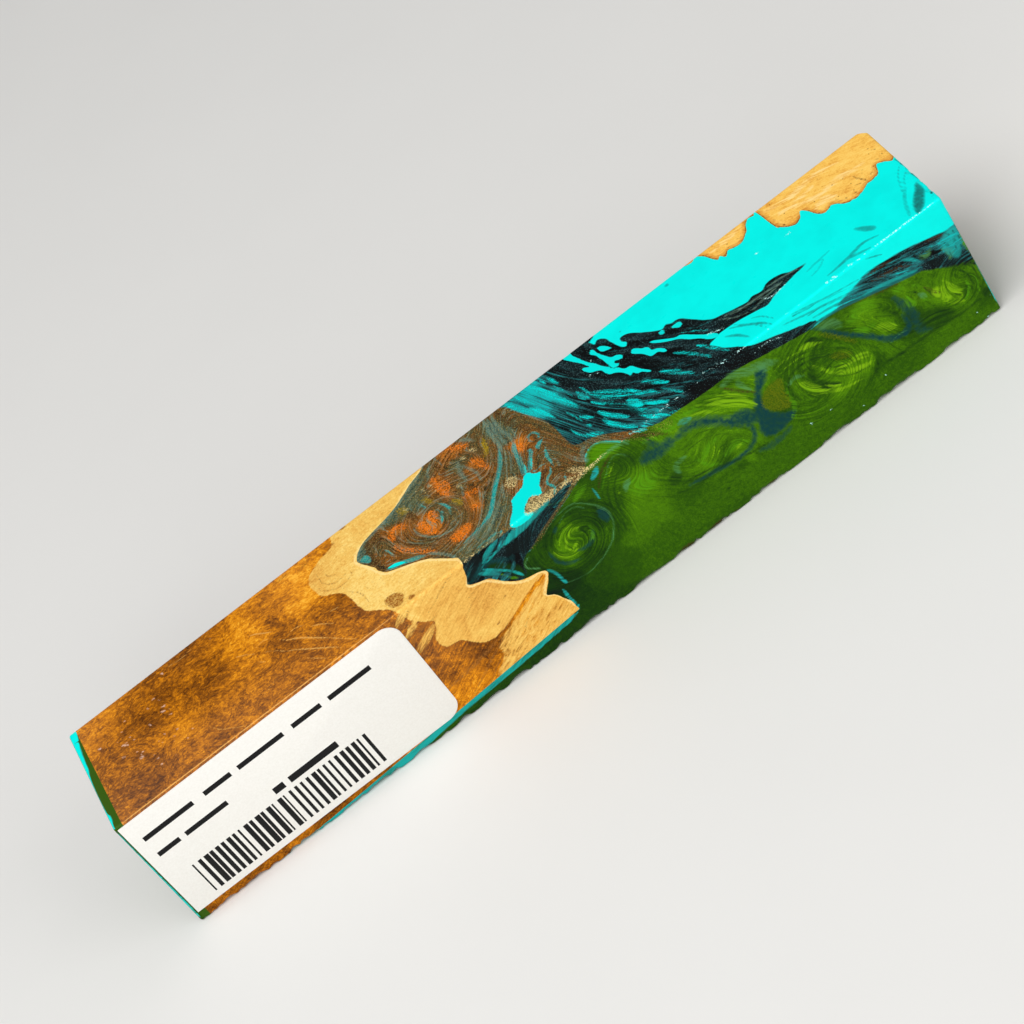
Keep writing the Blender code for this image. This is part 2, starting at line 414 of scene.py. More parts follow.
@dataclass(frozen=True)
class SawnBar:
    """The whole square bar as a fine closed mesh, in mm about the middle of its underside."""

    length: float = 127.0
    side: float = 20.5
    shown_cell: float = 0.23
    hidden_cell: float = 1.2
    rough_cell: float = 0.34
    busy_cell: float = 0.23
    busy: tuple[float, float] = (-24.0, 34.0)
    end_cell: float = 0.6
    arris: float = 0.35
    arris_cells: int = 3
    knocked_corner: float = 2.2
    right_skew: float = 0.5
    left_skew: float = 0.15
    skew_reach: float = 12.0
    tear_depth: float = 0.34
    tear_width: float = 2.2
    fine_tear_width: float = 0.55
    tear_mean: float = 0.35
    tear_sway: float = 0.7
    fine_tear_sway: float = 0.45
    tear_reach: float = 0.8
    end_chips: tuple[Point, ...] = ((12.4, 0.75), (15.2, 0.6), (17.6, 0.85))
    chip_height: float = 0.7
    chip_depth: float = 0.55
    chip_drop: float = 0.6

    @property
    def half(self) -> float:
        """Half the side."""
        return self.side / 2

    def lines(self, size: float, cell: float) -> np.ndarray:
        """Where the mesh lines across one size of the bar lie, closer together at its edges.

        Args:
            size: The length, or the side.
            cell: The wanted distance between lines, mm.

        Returns:
            Places from minus half the size to half the size.
        """
        edge = np.arange(self.arris_cells) * self.arris / self.arris_cells
        count = round((size - 2 * self.arris) / cell)
        middle = np.linspace(self.arris, size - self.arris, count + 1)
        return np.concatenate([edge, middle, (size - edge)[::-1]]) - size / 2

    def section(self) -> np.ndarray:
        """The square section's points.

        Returns:
            Points across and up, about the bar's axis: over the top, down the front, back along
            the underside and up the back.
        """
        h = self.half
        shown = self.lines(self.side, self.shown_cell)
        hidden = self.lines(self.side, self.hidden_cell)
        faces = (
            (-shown, np.full_like(shown, h)), (np.full_like(shown, -h), -shown),
            (hidden, np.full_like(hidden, -h)), (np.full_like(hidden, h), hidden),
        )
        return np.concatenate([np.stack(face, 1)[:-1] for face in faces])

    def stations(self) -> tuple[np.ndarray, np.ndarray]:
        """The section's places along the bar, with the rings that close its ends.

        Returns:
            Places along the bar, and the section's size at each as a share of the full one.
        """
        half = self.length / 2
        along = self.lines(self.length, self.rough_cell)
        low, high = self.busy
        busy = np.linspace(low, high, round((high - low) / self.busy_cell) + 1)
        along = np.concatenate([along[along < low - 0.1], busy, along[along > high + 0.1]])
        cap = np.linspace(0.02, 1.0, round(self.half / self.end_cell), endpoint=False)
        edge = 1 - self.arris / self.half * np.linspace(1, 0, self.arris_cells + 1)[:-1]
        cap = np.concatenate([cap[cap < edge[0] - 0.01], edge])
        places = np.concatenate([np.full_like(cap, -half), along, np.full_like(cap, half)])
        return places, np.concatenate([cap, np.ones_like(along), cap[::-1]])

    def place(self) -> np.ndarray:
        """Works out every point of the sawn, worn bar.

        Returns:
            Stations by points around by 3, mm, with the underside at height 0.
        """
        places, shares = self.stations()
        section = self.section()
        rings = np.zeros((len(places), len(section), 3))
        rings[:, :, 0] = places[:, None]
        rings[:, :, 1:] = shares[:, None, None] * section
        out = self.knock_corner(rings.reshape(-1, 3))
        out = self.round_edges(out)
        out[:, 2] += self.half
        out[:, 0] += self.end_skew(out)
        out += self.tears(out)
        out += self.chips(out)
        return out.reshape(rings.shape)

    def round_edges(self, p: np.ndarray) -> np.ndarray:
        """Rounds every edge by the arris radius."""
        inner = np.array([self.length / 2, self.half, self.half]) - self.arris
        core = np.clip(p, -inner, inner)
        out = p - core
        far = np.linalg.norm(out, axis=1, keepdims=True)
        return core + out * np.where(far > 0, self.arris / np.maximum(far, 1e-9), 0)

    def knock_corner(self, p: np.ndarray) -> np.ndarray:
        """Rounds the upright edge at the back of the right end by a larger radius."""
        r = self.knocked_corner
        base = np.array([self.length / 2 - r, self.half - r])
        d = p[:, :2] - base
        inside = (d > 0).all(1)
        far = np.linalg.norm(d, axis=1)
        shrink = np.where(inside, d.max(1) / np.maximum(far, 1e-9), 1.0)
        out = p.copy()
        out[inside, :2] = (base + d * shrink[:, None])[inside]
        return out

    def end_skew(self, p: np.ndarray) -> np.ndarray:
        """How far each point shifts along the bar because the ends aren't sawn square."""
        back = (p[:, 1] + self.half) / self.side
        up = p[:, 2] / self.side
        near = np.clip((np.abs(p[:, 0]) - self.length / 2) / self.skew_reach + 1, 0, 1)
        shift = np.where(p[:, 0] > 0, -self.right_skew * (1 - back), self.left_skew * (back + up))
        return shift * near

    def tears(self, p: np.ndarray) -> np.ndarray:
        """Saw tear-out along the bottom front edge, as moves of the points near it."""
        from_edge = np.hypot(p[:, 1] + self.half, p[:, 2])
        near = np.clip(1 - from_edge / self.tear_reach, 0, 1)
        still = np.zeros(len(p))
        coarse = lattice_noise(p[:, 0] / self.tear_width, still, Seed.TEAR)
        fine = lattice_noise(p[:, 0] / self.fine_tear_width, still, Seed.FINE_TEAR)
        torn = self.tear_mean + self.tear_sway * coarse + self.fine_tear_sway * fine
        depth = self.tear_depth * np.clip(torn, 0, 1) * near
        return np.stack([still, depth, depth], 1)

    def chips(self, p: np.ndarray) -> np.ndarray:
        """Chips off the right end's top edge, as moves of the points near them."""
        out = np.zeros_like(p)
        for from_back, radius in self.end_chips:
            y = self.half - from_back
            x = self.length / 2 - self.right_skew * from_back / self.side
            size = (radius, radius, self.chip_height * radius)
            far = np.linalg.norm((p - (x, y, self.side)) / size, axis=1)
            depth = self.chip_depth * radius * np.clip(1 - far, 0, 1)
            out[:, 0] -= depth
            out[:, 2] -= self.chip_drop * depth
        return out

    def solid(self, name: str) -> bpy.types.Object:
        """Makes the bar as an object in mm, linked to the scene."""
        return object_from_grid(name, self.place())


def linked(name: str, data: bpy.types.ID) -> bpy.types.Object:
    """Makes an object of a mesh, a light or a camera, and links it to the scene."""
    made = bpy.data.objects.new(name, data)
    bpy.context.scene.collection.objects.link(made)
    return made


def mesh_of(name: str, bm: bmesh.types.BMesh) -> bpy.types.Mesh:
    """Ends a bmesh and keeps it as a mesh."""
    mesh = bpy.data.meshes.new(name)
    bm.to_mesh(mesh)
    bm.free()
    return mesh


def object_from_grid(name: str, rings: np.ndarray) -> bpy.types.Object:
    """Closes a stack of rings into a solid.

    Args:
        name: The object's name.
        rings: Points as stations by points around by 3, in mm.

    Returns:
        The closed object, linked to the scene.
    """
    stations, around = rings.shape[:2]
    at = np.arange(stations * around).reshape(stations, around)
    beside = np.roll(at, -1, axis=1)
    quads = np.stack([at[:-1], beside[:-1], beside[1:], at[1:]], -1).reshape(-1, 4)
    faces = [*quads.tolist(), at[0, ::-1].tolist(), at[-1].tolist()]
    mesh = bpy.data.meshes.new(name)
    mesh.from_pydata(rings.reshape(-1, 3), [], faces)
    bm = bmesh.new()
    bm.from_mesh(mesh)
    bmesh.ops.recalc_face_normals(bm, faces=bm.faces)
    bm.to_mesh(mesh)
    bm.free()
    return linked(name, mesh)


@dataclass(frozen=True)
class MainBurl:
    """The big piece of burl at the left, whose live edge faces the right end."""

    side: float = 20.5
    starts: float = -62.05
    overshoot: float = 1.5
    cells: int = 90
    rise_x: float = 0.064
    rise_y: float = 0.080
    meets_base: float = -52.0
    ripple: float = 0.10
    ripple_width: float = 0.8
    fine_ripple: float = 0.05
    fine_ripple_width: float = 0.35
    top: Outline = (
        (0.0, -6.8), (0.8, -7.6), (1.6, -9.5), (2.5, -11.0), (3.5, -12.7), (4.3, -15.0),
        (5.0, -17.8), (6.0, -19.6), (7.3, -20.5), (8.5, -20.3), (9.5, -19.8), (10.6, -19.3),
        (12.0, -18.9), (13.0, -18.2), (13.9, -16.5), (14.9, -14.5), (16.0, -13.0), (17.1, -12.0),
        (18.3, -11.0), (19.3, -10.2), (20.5, -10.1),
    )
    front: Outline = (
        (0.0, -10.1), (1.0, -10.5), (2.5, -10.9), (3.4, -11.1), (3.8, -10.5), (4.3, -9.2),
        (5.4, -8.0), (6.5, -7.2), (7.6, -6.0), (8.1, -5.0), (8.4, -3.7), (8.8, -2.8), (9.4, -2.5),
        (10.1, -2.8), (10.9, -3.4), (11.9, -4.2), (12.3, -4.3), (12.9, -3.6), (14.0, -2.9),
        (15.0, -2.5), (16.4, -2.2), (20.5, -2.1),
    )
    back: Outline = (
        (0.0, -6.8), (2.0, -6.0), (4.0, -7.6), (5.5, -10.4), (7.0, -9.8), (8.5, -7.2),
        (10.0, -6.6), (12.0, -8.8), (13.5, -12.0), (15.0, -12.6), (16.5, -10.2), (18.5, -9.0),
        (20.5, -9.4),
    )
    under: Outline = ((0.0, -2.1), (7.0, -4.4), (14.0, -6.0), (20.5, -9.4))

    def live_edge(self, y: np.ndarray, z: np.ndarray) -> np.ndarray:
        """Where the wood ends along the bar, at places across its section.

        Args:
            y: Towards the back, mm from the middle.
            z: Height, mm.

        Returns:
            The place along the bar, mm.
        """
        side, half = self.side, self.side / 2
        y, z = np.clip(y, -half, half), np.clip(z, 0, side)
        a, b = (y + half) / side, z / side
        front, back = curve_through(self.front, side - z), curve_through(self.back, side - z)
        under, top = curve_through(self.under, y + half), curve_through(self.top, half - y)
        corners = (
            (1 - a) * (1 - b) * self.under[0][1] + a * (1 - b) * self.under[-1][1]
            + (1 - a) * b * self.front[0][1] + a * b * self.back[0][1]
        )
        wide, fine = self.ripple_width, self.fine_ripple_width
        ripple = self.ripple * lattice_noise(y / wide, z / wide, Seed.MAIN_RIPPLE)
        ripple += self.fine_ripple * lattice_noise(y / fine, z / fine, Seed.MAIN_FINE_RIPPLE)
        return (1 - a) * front + a * back + (1 - b) * under + b * top - corners + ripple

    def block(self, name: str) -> bpy.types.Object:
        """Makes the wood past the bar on its four sides, to be trimmed to it.

        Args:
            name: The object's name.

        Returns:
            A closed object in mm.
        """
        reach = self.side / 2 + self.overshoot
        bm = bmesh.new()
        bmesh.ops.create_grid(bm, x_segments=self.cells, y_segments=self.cells, size=reach)
        co = np.array([v.co for v in bm.verts])
        y, z = co[:, 0], co[:, 1] + self.side / 2
        x = self.live_edge(y, z)
        for vert, place in zip(bm.verts, np.stack([x, y, z], 1)):
            vert.co = place
        pushed = bmesh.ops.extrude_face_region(bm, geom=bm.faces[:], use_keep_orig=True)
        for vert in (g for g in pushed["geom"] if isinstance(g, bmesh.types.BMVert)):
            vert.co.x = self.starts
        bmesh.ops.recalc_face_normals(bm, faces=bm.faces)
        cut = bmesh.ops.bisect_plane(
            bm,
            geom=bm.verts[:] + bm.edges[:] + bm.faces[:],
            plane_co=(self.meets_base, -self.side / 2, 0.0),
            plane_no=(self.rise_x, self.rise_y, -1.0),
            clear_outer=True,
        )
        rim = [g for g in cut["geom_cut"] if isinstance(g, bmesh.types.BMEdge)]
        bmesh.ops.holes_fill(bm, edges=rim, sides=0)
        bmesh.ops.triangulate(bm, faces=bm.faces)
        return linked(name, mesh_of(name, bm))


@dataclass(frozen=True)
class CornerBurl:
    """The small piece of burl in the top back corner, near the right end."""

    side: float = 20.5
    ends: float = 65.0
    overshoot: float = 1.5
    stations: int = 200
    arc_steps: int = 24
    top_ripple: float = 0.10
    top_ripple_width: float = 0.4
    back_ripple: float = 0.15
    back_ripple_width: float = 0.6
    top: Outline = (
        (34.9, 0.35), (35.6, 0.6), (36.8, 0.3), (37.5, 1.1), (38.0, 2.6), (38.4, 3.4),
        (39.0, 3.2), (39.3, 3.8), (40.2, 3.1), (40.9, 3.5), (41.7, 3.7), (42.6, 3.3),
        (43.6, 2.2), (44.3, 0.9), (44.9, 0.45), (45.7, 0.6), (46.2, 0.9), (46.4, 4.3),
        (46.9, 5.9), (47.6, 6.8), (48.4, 7.3), (49.3, 7.0), (50.3, 5.8), (50.8, 6.8),
        (51.2, 8.0), (52.0, 9.1), (52.8, 8.9), (53.5, 8.7), (54.6, 10.0), (55.5, 10.4),
        (56.5, 10.5), (57.5, 10.2), (58.5, 9.6), (59.7, 9.5), (60.5, 8.9), (60.9, 7.8),
        (61.8, 8.1), (62.7, 8.9), (63.5, 8.0),
    )
    back: Outline = (
        (34.9, 0.6), (36.2, 1.6), (38.0, 3.4), (40.0, 4.6), (42.0, 4.1), (44.0, 5.6), (46.0, 8.0),
        (48.0, 9.2), (50.0, 8.4), (52.0, 10.0), (54.0, 12.2), (56.0, 13.0), (58.0, 11.8),
        (60.0, 12.6), (62.0, 13.8), (63.5, 13.4),
    )

    def block(self, name: str) -> bpy.types.Object:
        """Makes the wood past the bar at the top, the back and the end, to be trimmed to it.

        Args:
            name: The object's name.

        Returns:
            A closed object in mm.
        """
        x = np.linspace(self.top[0][0], self.ends, self.stations)
        still = np.zeros_like(x)
        top_noise = lattice_noise(x / self.top_ripple_width, still, Seed.CORNER_ON_TOP)
        back_noise = lattice_noise(x / self.back_ripple_width, still, Seed.CORNER_ON_BACK)
        deep = curve_through(self.top, x) + self.top_ripple * top_noise
        tall = curve_through(self.back, x) + self.back_ripple * back_noise
        angles = np.linspace(0, math.pi / 2, self.arc_steps)
        out = np.full(len(x), -self.overshoot)
        across = [out, deep, *(deep * math.cos(a) for a in angles), out]
        down = [out, out, *(tall * math.sin(a) for a in angles), tall]
        rings = np.stack(
            [np.stack([x, self.side / 2 - d, self.side - h], 1) for d, h in zip(across, down)], 1
        )
        return object_from_grid(name, rings)


# Shader building


@dataclass(frozen=True)
class Noise:
    """Cloudy noise: features for each unit, octaves, how rough they are, and how far it bends."""

    scale: float
    detail: float = 3.0
    roughness: float = 0.5
    bend: float = 0.0


@dataclass(frozen=True)
class Grain:
    """Noise drawn out: features for each mm along three axes, turned about them in degrees."""

    scale: Place
    noise: Noise
    turn: Place = (0.0, 0.0, 0.0)


@dataclass(frozen=True)
class Span:
    """What a pattern's values from low to high become, held at both ends."""

    low: float
    high: float
    start: float = 0.0
    end: float = 1.0


class Sketch:
    """A material's nodes, added by plain words."""

    def __init__(self, name: str) -> None:
        """Starts a material with one Principled shader.

        Args:
            name: The material's name.
        """
        self.material = bpy.data.materials.new(name)
        self.material.use_nodes = True
        self.tree = self.material.node_tree
        self.shader = self.tree.nodes["Principled BSDF"]
        self.place = self.tree.nodes.new("ShaderNodeTexCoord").outputs["Object"]

    def put(self, node: bpy.types.Node, socket: str | int, value: object) -> None:
        """Links a socket to an input, or sets the input's own value."""
        if isinstance(value, Socket):
            self.tree.links.new(value, node.inputs[socket])
        else:
            node.inputs[socket].default_value = value

    def attribute(self, name: str) -> Socket:
        """Reads a number that the mesh carries."""
        node = self.tree.nodes.new("ShaderNodeAttribute")
        node.attribute_name = name
        return node.outputs["Fac"]

    def math(self, operation: str, *values: object) -> Socket:
        """Works out one number from others."""
        node = self.tree.nodes.new("ShaderNodeMath")
        node.operation = operation
        for i, value in enumerate(values):
            self.put(node, i, value)
        return node.outputs[0]

    def vector(self, x: object, y: object, z: object = 0.0) -> Socket:
        """Joins three numbers into a place."""
        node = self.tree.nodes.new("ShaderNodeCombineXYZ")
        for axis, value in zip("XYZ", (x, y, z)):
            self.put(node, axis, value)
        return node.outputs[0]

    def millimetres(self) -> Socket:
        """The object's own coordinates in mm."""
        return self.stretched(self.place, (1 / MM, 1 / MM, 1 / MM))

    def stretched(self, place: Socket, scale: Place, turn: Place = (0.0, 0.0, 0.0)) -> Socket:
        """Turns a pattern, and stretches it along its own axes.

        Args:
            place: Where the pattern is read.
            scale: Features for each unit, along each of the pattern's axes.
            turn: Turn about each axis, degrees.

        Returns:
            The new place.
        """
        node = self.tree.nodes.new("ShaderNodeMapping")
        node.vector_type = "TEXTURE"
        self.put(node, "Vector", place)
        self.put(node, "Rotation", tuple(math.radians(angle) for angle in turn))
        self.put(node, "Scale", tuple(1 / size for size in scale))
        return node.outputs[0]

    def moved(self, place: Socket, shift: Socket) -> Socket:
        """Shifts a pattern's place."""
        node = self.tree.nodes.new("ShaderNodeVectorMath")
        node.operation = "ADD"
        self.put(node, 0, place)
        self.put(node, 1, shift)
        return node.outputs[0]

    def noise(self, place: Socket, kind: Noise) -> Socket:
        """Noise around 0.5."""
        node = self.tree.nodes.new("ShaderNodeTexNoise")
        self.put(node, "Vector", place)
        self.put(node, "Scale", kind.scale)
        self.put(node, "Detail", kind.detail)
        self.put(node, "Roughness", kind.roughness)
        self.put(node, "Distortion", kind.bend)
        return node.outputs["Fac"]

    def grain(self, place: Socket, kind: Grain) -> Socket:
        """Noise around 0.5, drawn out along its own axes."""
        return self.noise(self.stretched(place, kind.scale, kind.turn), kind.noise)

    def cells(self, place: Socket, scale: float) -> Socket:
        """Distance to the nearest of many scattered points, in cells."""
        node = self.tree.nodes.new("ShaderNodeTexVoronoi")
        self.put(node, "Vector", place)
        self.put(node, "Scale", scale)
        return node.outputs["Distance"]

    def spread(self, value: object, span: Span) -> Socket:
        """Maps a value by a span."""
        node = self.tree.nodes.new("ShaderNodeMapRange")
        node.clamp = True
        for i, number in enumerate((value, span.low, span.high, span.start, span.end)):
            self.put(node, i, number)
        return node.outputs[0]

    def ramp(self, value: Socket, stops: Stops) -> Socket:
        """Colours a number.

        Args:
            value: The number, 0 to 1.
            stops: Places from 0 to 1 and their sRGB colours.

        Returns:
            The colour.
        """
        node = self.tree.nodes.new("ShaderNodeValToRGB")
        self.put(node, 0, value)
        band = node.color_ramp
        while len(band.elements) < len(stops):
            band.elements.new(0.5)
        for element, (at, colour) in zip(band.elements, stops):
            element.position = at
            element.color = (*linear(colour), 1.0)
        return node.outputs["Color"]

    def mix(self, share: object, under: object, over: object, blend: str = "MIX") -> Socket:
        """Lays one colour over another.

        Args:
            share: How much of the upper colour shows, a number or a pattern.
            under: The lower colour.
            over: The upper colour.
            blend: MIX, or ADD to lay light over it, as for a painted sheen.

        Returns:
            The colour.
        """
        node = self.tree.nodes.new("ShaderNodeMix")
        node.data_type = "RGBA"
        node.blend_type = blend
        node.clamp_factor = True
        a, b = (i for i in node.inputs if i.type == "RGBA")
        factor = next(i for i in node.inputs if i.name == "Factor" and i.type == "VALUE")
        for socket, value in ((factor, share), (a, under), (b, over)):
            if isinstance(value, Socket):
                self.tree.links.new(value, socket)
            elif isinstance(value, tuple):
                socket.default_value = (*linear(value), 1.0)
            else:
                socket.default_value = value
        return next(o for o in node.outputs if o.type == "RGBA")

    def frayed(self, layer: str, noise: Socket, fray: float) -> Socket:
        """A layer's share of the surface, its edge frayed by a noise.

        Args:
            layer: The layer's name.
            noise: Noise around 0.5.
            fray: How far the noise moves the edge, in fades.

        Returns:
            The share, 0 to 1.
        """
        cover = self.attribute(layer)
        open_edge = self.math("SUBTRACT", 1.0, self.math("MULTIPLY", cover, cover))
        sway = self.math("MULTIPLY", open_edge, fray)
        moved = self.math("MULTIPLY", self.math("SUBTRACT", noise, 0.5), sway)
        return self.spread(self.math("ADD", moved, cover), Span(-FADE, FADE))

    def sway(self, value: object, *noises: tuple[Socket, object]) -> Socket:
        """Moves a value by noises around 0.5, each with how far it moves it."""
        for noise, amount in noises:
            value = self.math("MULTIPLY_ADD", self.math("SUBTRACT", noise, 0.5), amount, value)
        return value

    def bump(self, height: Socket, depth_mm: float, strength: float) -> None:
        """Raises the surface by a height pattern."""
        node = self.tree.nodes.new("ShaderNodeBump")
        self.put(node, "Height", height)
        self.put(node, "Distance", depth_mm * MM)
        self.put(node, "Strength", strength)
        self.tree.links.new(node.outputs[0], self.shader.inputs["Normal"])

    def finish(self, colour: Socket, roughness: object, **fixed: float) -> bpy.types.Material:
        """Ends the material.

        Args:
            colour: Its colour.
            roughness: Its roughness, a number or a pattern.
            fixed: Values for the shader's own sockets, by name with _ for a space.

        Returns:
            The material.
        """
        self.put(self.shader, "Base Color", colour)
        self.put(self.shader, "Roughness", roughness)
        for name, value in fixed.items():
            self.put(self.shader, name.replace("_", " "), value)
        return self.material


def linear(colour: Colour) -> Colour:
    """An sRGB colour, 0 to 255, as linear light."""
    shares = (level / 255 for level in colour)
    return tuple(c / 12.92 if c <= 0.04045 else ((c + 0.055) / 1.055) ** 2.4 for c in shares)


# Where the colours lie in the resin

FLOW = Flow(
    drop=(
        (-64.0, 7.0), (-24.0, 7.0), (-12.0, 5.0), (-8.0, 3.0), (-4.0, 0.0), (0.0, -5.0), (2.5, -11.0),
        (4.5, -17.0), (6.5, -18.0), (9.0, -12.0), (12.0, -4.0), (15.0, 2.5), (18.0, 6.5), (22.0, 10.0),
        (28.0, 15.0), (31.0, 17.0), (36.0, 18.4), (44.0, 20.0), (64.0, 25.0),
    ),
    eddies=(
        Eddy((-9.6, 10.6), 4.4, 0.75),
        Eddy((-14.5, 7.6), 2.2, -0.4),
        Eddy((-3.2, 5.0), 3.0, 0.35),
        Eddy((2.6, 28.4), 4.6, 1.2),
        Eddy((11.0, 25.6), 3.6, -0.3),
        Eddy((22.6, 30.0), 5.0, 0.28),
        Eddy((40.2, 31.4), 5.6, 0.6),
        Eddy((50.0, 31.4), 3.4, -0.5),
        Eddy((60.4, 33.4), 3.6, 0.5),
        Eddy((20.0, -10.0), 5.5, 0.8),
        Eddy((44.0, -14.0), 4.5, -0.8),
        Eddy((2.0, 52.0), 6.0, 0.9),
        Eddy((28.0, 50.0), 6.5, -0.8),
        Eddy((50.0, 54.0), 5.5, 0.8),
        Eddy((-26.0, 53.0), 6.5, 0.7),
    ),
)

COPPER_ZONE = Layer("copper_zone", patches=(
    ("-30,-3 6,-3 7.6,-0.5 7.8,1.5 8.4,3.6 9.2,5.6 10,7.4 10.4,9.6 10.4,12.5 11,14.8 12.4,15.6 "
     "14.2,16.9 15.8,18.6 17.6,20.3 20,21.2 20.6,23.4 17.4,23.2 15.6,21.6 14,20.2 12.4,18.2 11,17.7 "
     "9.6,18.6 9,20.4 7,21.4 3.4,23 -1,25.2 -4,25.4 -12,25.5 -30,24", 0.3),
    ("-34,2 4,2 6,-1.5 5,-6 8,-10.5 3.5,-15.5 -3.5,-22 -34,-22", 0.4),
    ("-30,63 -27,57 -18,54.5 -9,57 -5,63", 0.6),
))

GREEN_ZONE = Layer("green_zone", patches=(
    ("-72,22 -12,25.4 -5,26.4 -4.2,25.4 -2.4,25.3 0,24.3 3,23.1 6,21.7 8.4,20.6 9.4,19 10.6,17.8 "
     "11.8,17.9 13,19.2 14.2,20.5 16.4,21 18.6,21 20.4,21 22.6,21.3 26,21.6 30,21.8 33,22.2 36.7,23 "
     "39,23.8 41,24.5 44,24.6 46,24.9 49.8,25.4 53.7,26.4 56.4,27 58,28 60,29.2 62.5,30.4 70,31.6 "
     "70,63 -72,63", 0.35),
    ("-6,-23 -3.5,-21 3,-15.6 12,-13.5 24,-15.5 36,-12.5 50,-15.5 70,-13.5 70,-23", 0.5),
))

CAP_GREEN = Layer("cap_green", patches=(
    ("-61.9,1.6 -62.25,2.2 -62.5,3.2 -62.6,5 -62.7,7 -62.95,9 -63.12,11 -63.2,14 -63.15,17 -62.95,18.2 "
     "-63.05,20.8 -61.9,20.8", 0.12),
    ("-60,27 -57,24 -53,26 -52,33 -55,37 -58,34", 0.5),
), streaks=(
    ("-63.1,2.4 -62.4,2.1", 0.12, 0.1, 0.9),
    ("-62.6,20 -62.6,32 -62.5,40 -62.4,44 -62.3,52", 0.5, 0.3, 0.9, 0.1),
))

STREAK_ZONE = Layer("streak_zone", bleed=1.2, reach=5.0, patches=(
    ("5.4,-2 5.9,0.4 6.3,1.9 7.1,4 7.9,6 8.6,7.8 9,10 9.1,13 9.6,15.6 11.6,16.4 13.2,17.4 15.2,19.3 "
     "17,20.8 19.4,21.8 22.6,22.1 26,22.4 30,22.5 33,23 36.7,23.8 38.8,24.2 41.4,24.6 42.2,24 "
     "40.3,23.2 38.8,22.7 36.7,21.9 35.1,21.4 33.4,20.6 32.3,19.4 31.3,18.3 30.7,17.2 30.2,16 "
     "31.2,15.7 32.3,15.4 34.8,15.7 37.5,16.4 38.8,16.7 40.3,16 43,15.4 45.8,14.8 45.1,14.6 43.6,14.2 "
     "42.6,13.4 40.8,13.1 39.4,13.8 38.2,13.5 37.2,13.8 35.5,13.3 34,12.8 32.7,12.3 31.7,11.3 30.9,10 "
     "30.2,8.8 29.5,8.1 28.6,7.9 27.9,7.4 27.2,7.8 26.2,7 25,5.7 24,4.4 23.2,4 22.5,4.1 22.5,4.8 "
     "22.9,5.5 22.4,6.1 21.8,5.2 21.5,3.8 21.2,2.4 20.6,1.6 20.1,1.5 19.7,1.8 19.4,1 18.9,-0.2 18.6,-2",
     0.16),
    ("-11,23.4 -10.5,21.4 -10,20.3 -8.4,20.6 -5,20.8 -2.9,20.9 -2.6,21.3 0,21.3 3,20.9 6.6,20.7 "
     "3.6,22.4 0,24 -1.8,25 -3.4,25.6 -4.4,26.6 -4.8,28.2 -6.4,28.3 -7.6,27 -9.4,24.9 -10.8,24.3",
     0.25),
    ("6,1 19,1 22,-3 30,-6.5 42,-8.5 52,-11 44,-12.6 34,-11 24,-14 14,-12.6 8,-10 5.4,-5", 0.3),
    ("45.4,24.2 49,23.2 50.4,22.9 54.7,23.3 56.8,23.7 58.7,24.3 60.6,24.9 62,25.2 66,25.2 66,32.6 "
     "62.5,31.4 60,30.2 58,29 56.4,27.9 53.7,27.2 49.8,26.1 46,24.9", 0.3),
))

DARKNESS = Tone("darkness", 0.9, (
    "6.6,1,0.3 8,3.4,0.34 8.6,6,0.24 9.8,9,0.55 9.8,1.6,0.16 10.2,13,0.6 10.6,4.2,0.2 11.8,7,0.4 "
    "11.6,2.6,0.6 12.8,2.4,0.62 13.4,7.4,0.7 12.6,10.4,0.6 11.6,12.6,0.72 13.4,12.6,0.66 "
    "12.4,14.6,0.68 14.6,1,0.96 14.8,4,0.98 15.2,6.6,0.92 14.2,8.8,0.62 16.2,9.4,0.86 15.4,11.4,0.76 "
    "17,12,0.86 14.4,14,0.66 15.6,16.4,0.6 16.6,14.8,0.86 14.4,18,0.6 16.8,18.8,0.64 17.4,2,1.1 "
    "17.6,8.2,1.1 18.4,11,1 18.2,13.2,0.86 18.6,16,0.74 17.8,17.6,0.85 19.6,18.6,0.66 20.2,5,1.1 "
    "21.5,9,1.1 20.6,13.4,0.72 20.6,15.8,0.72 21.6,17.6,0.74 22.6,15,0.85 22.6,19.4,0.6 24,8,1.1 "
    "24.6,13,0.95 25,17.4,0.92 26,11.5,1.1 27.4,15.5,0.98 27.6,19,0.9 30,12.6,1 29.4,17,0.86 31,20.6,1 "
    "32,13.4,0.9 34,14.6,0.9 39,15,0.9 44,14.8,0.84 18.4,21,0.4 22,21.4,0.95 26,21.8,1.1 34,22.4,1.1 "
    "38,23.4,1 41,24.2,0.8 47,24.6,0.26 50.4,23.8,0.55 50,25.2,0.36 53.4,24.2,0.5 53,26.2,0.42 "
    "56,24.8,0.54 56.4,26.8,0.55 59,25.6,0.6 58.4,28,0.78 61,27,0.32 60.4,29.8,0.7 63,28,0.4 "
    "62.6,31,0.8 20,-4,0.9 30,-8,0.9 44,-10,0.8 10,-6,0.5 30,-12.5,0.5 -10.4,22.6,0.9 -8.4,21.4,0.95 "
    "-7,22.2,0.62 -4.2,21.4,0.5 -5,23.4,0.9 -3,23.8,1.05 -1,23,0.9 -0.6,21.8,0.6 1.6,22.4,0.85 "
    "4,21.4,0.7 -8.6,24,0.6 -7.2,25.2,0.55 -5.6,26.4,0.75 -4,25.2,0.8"
))

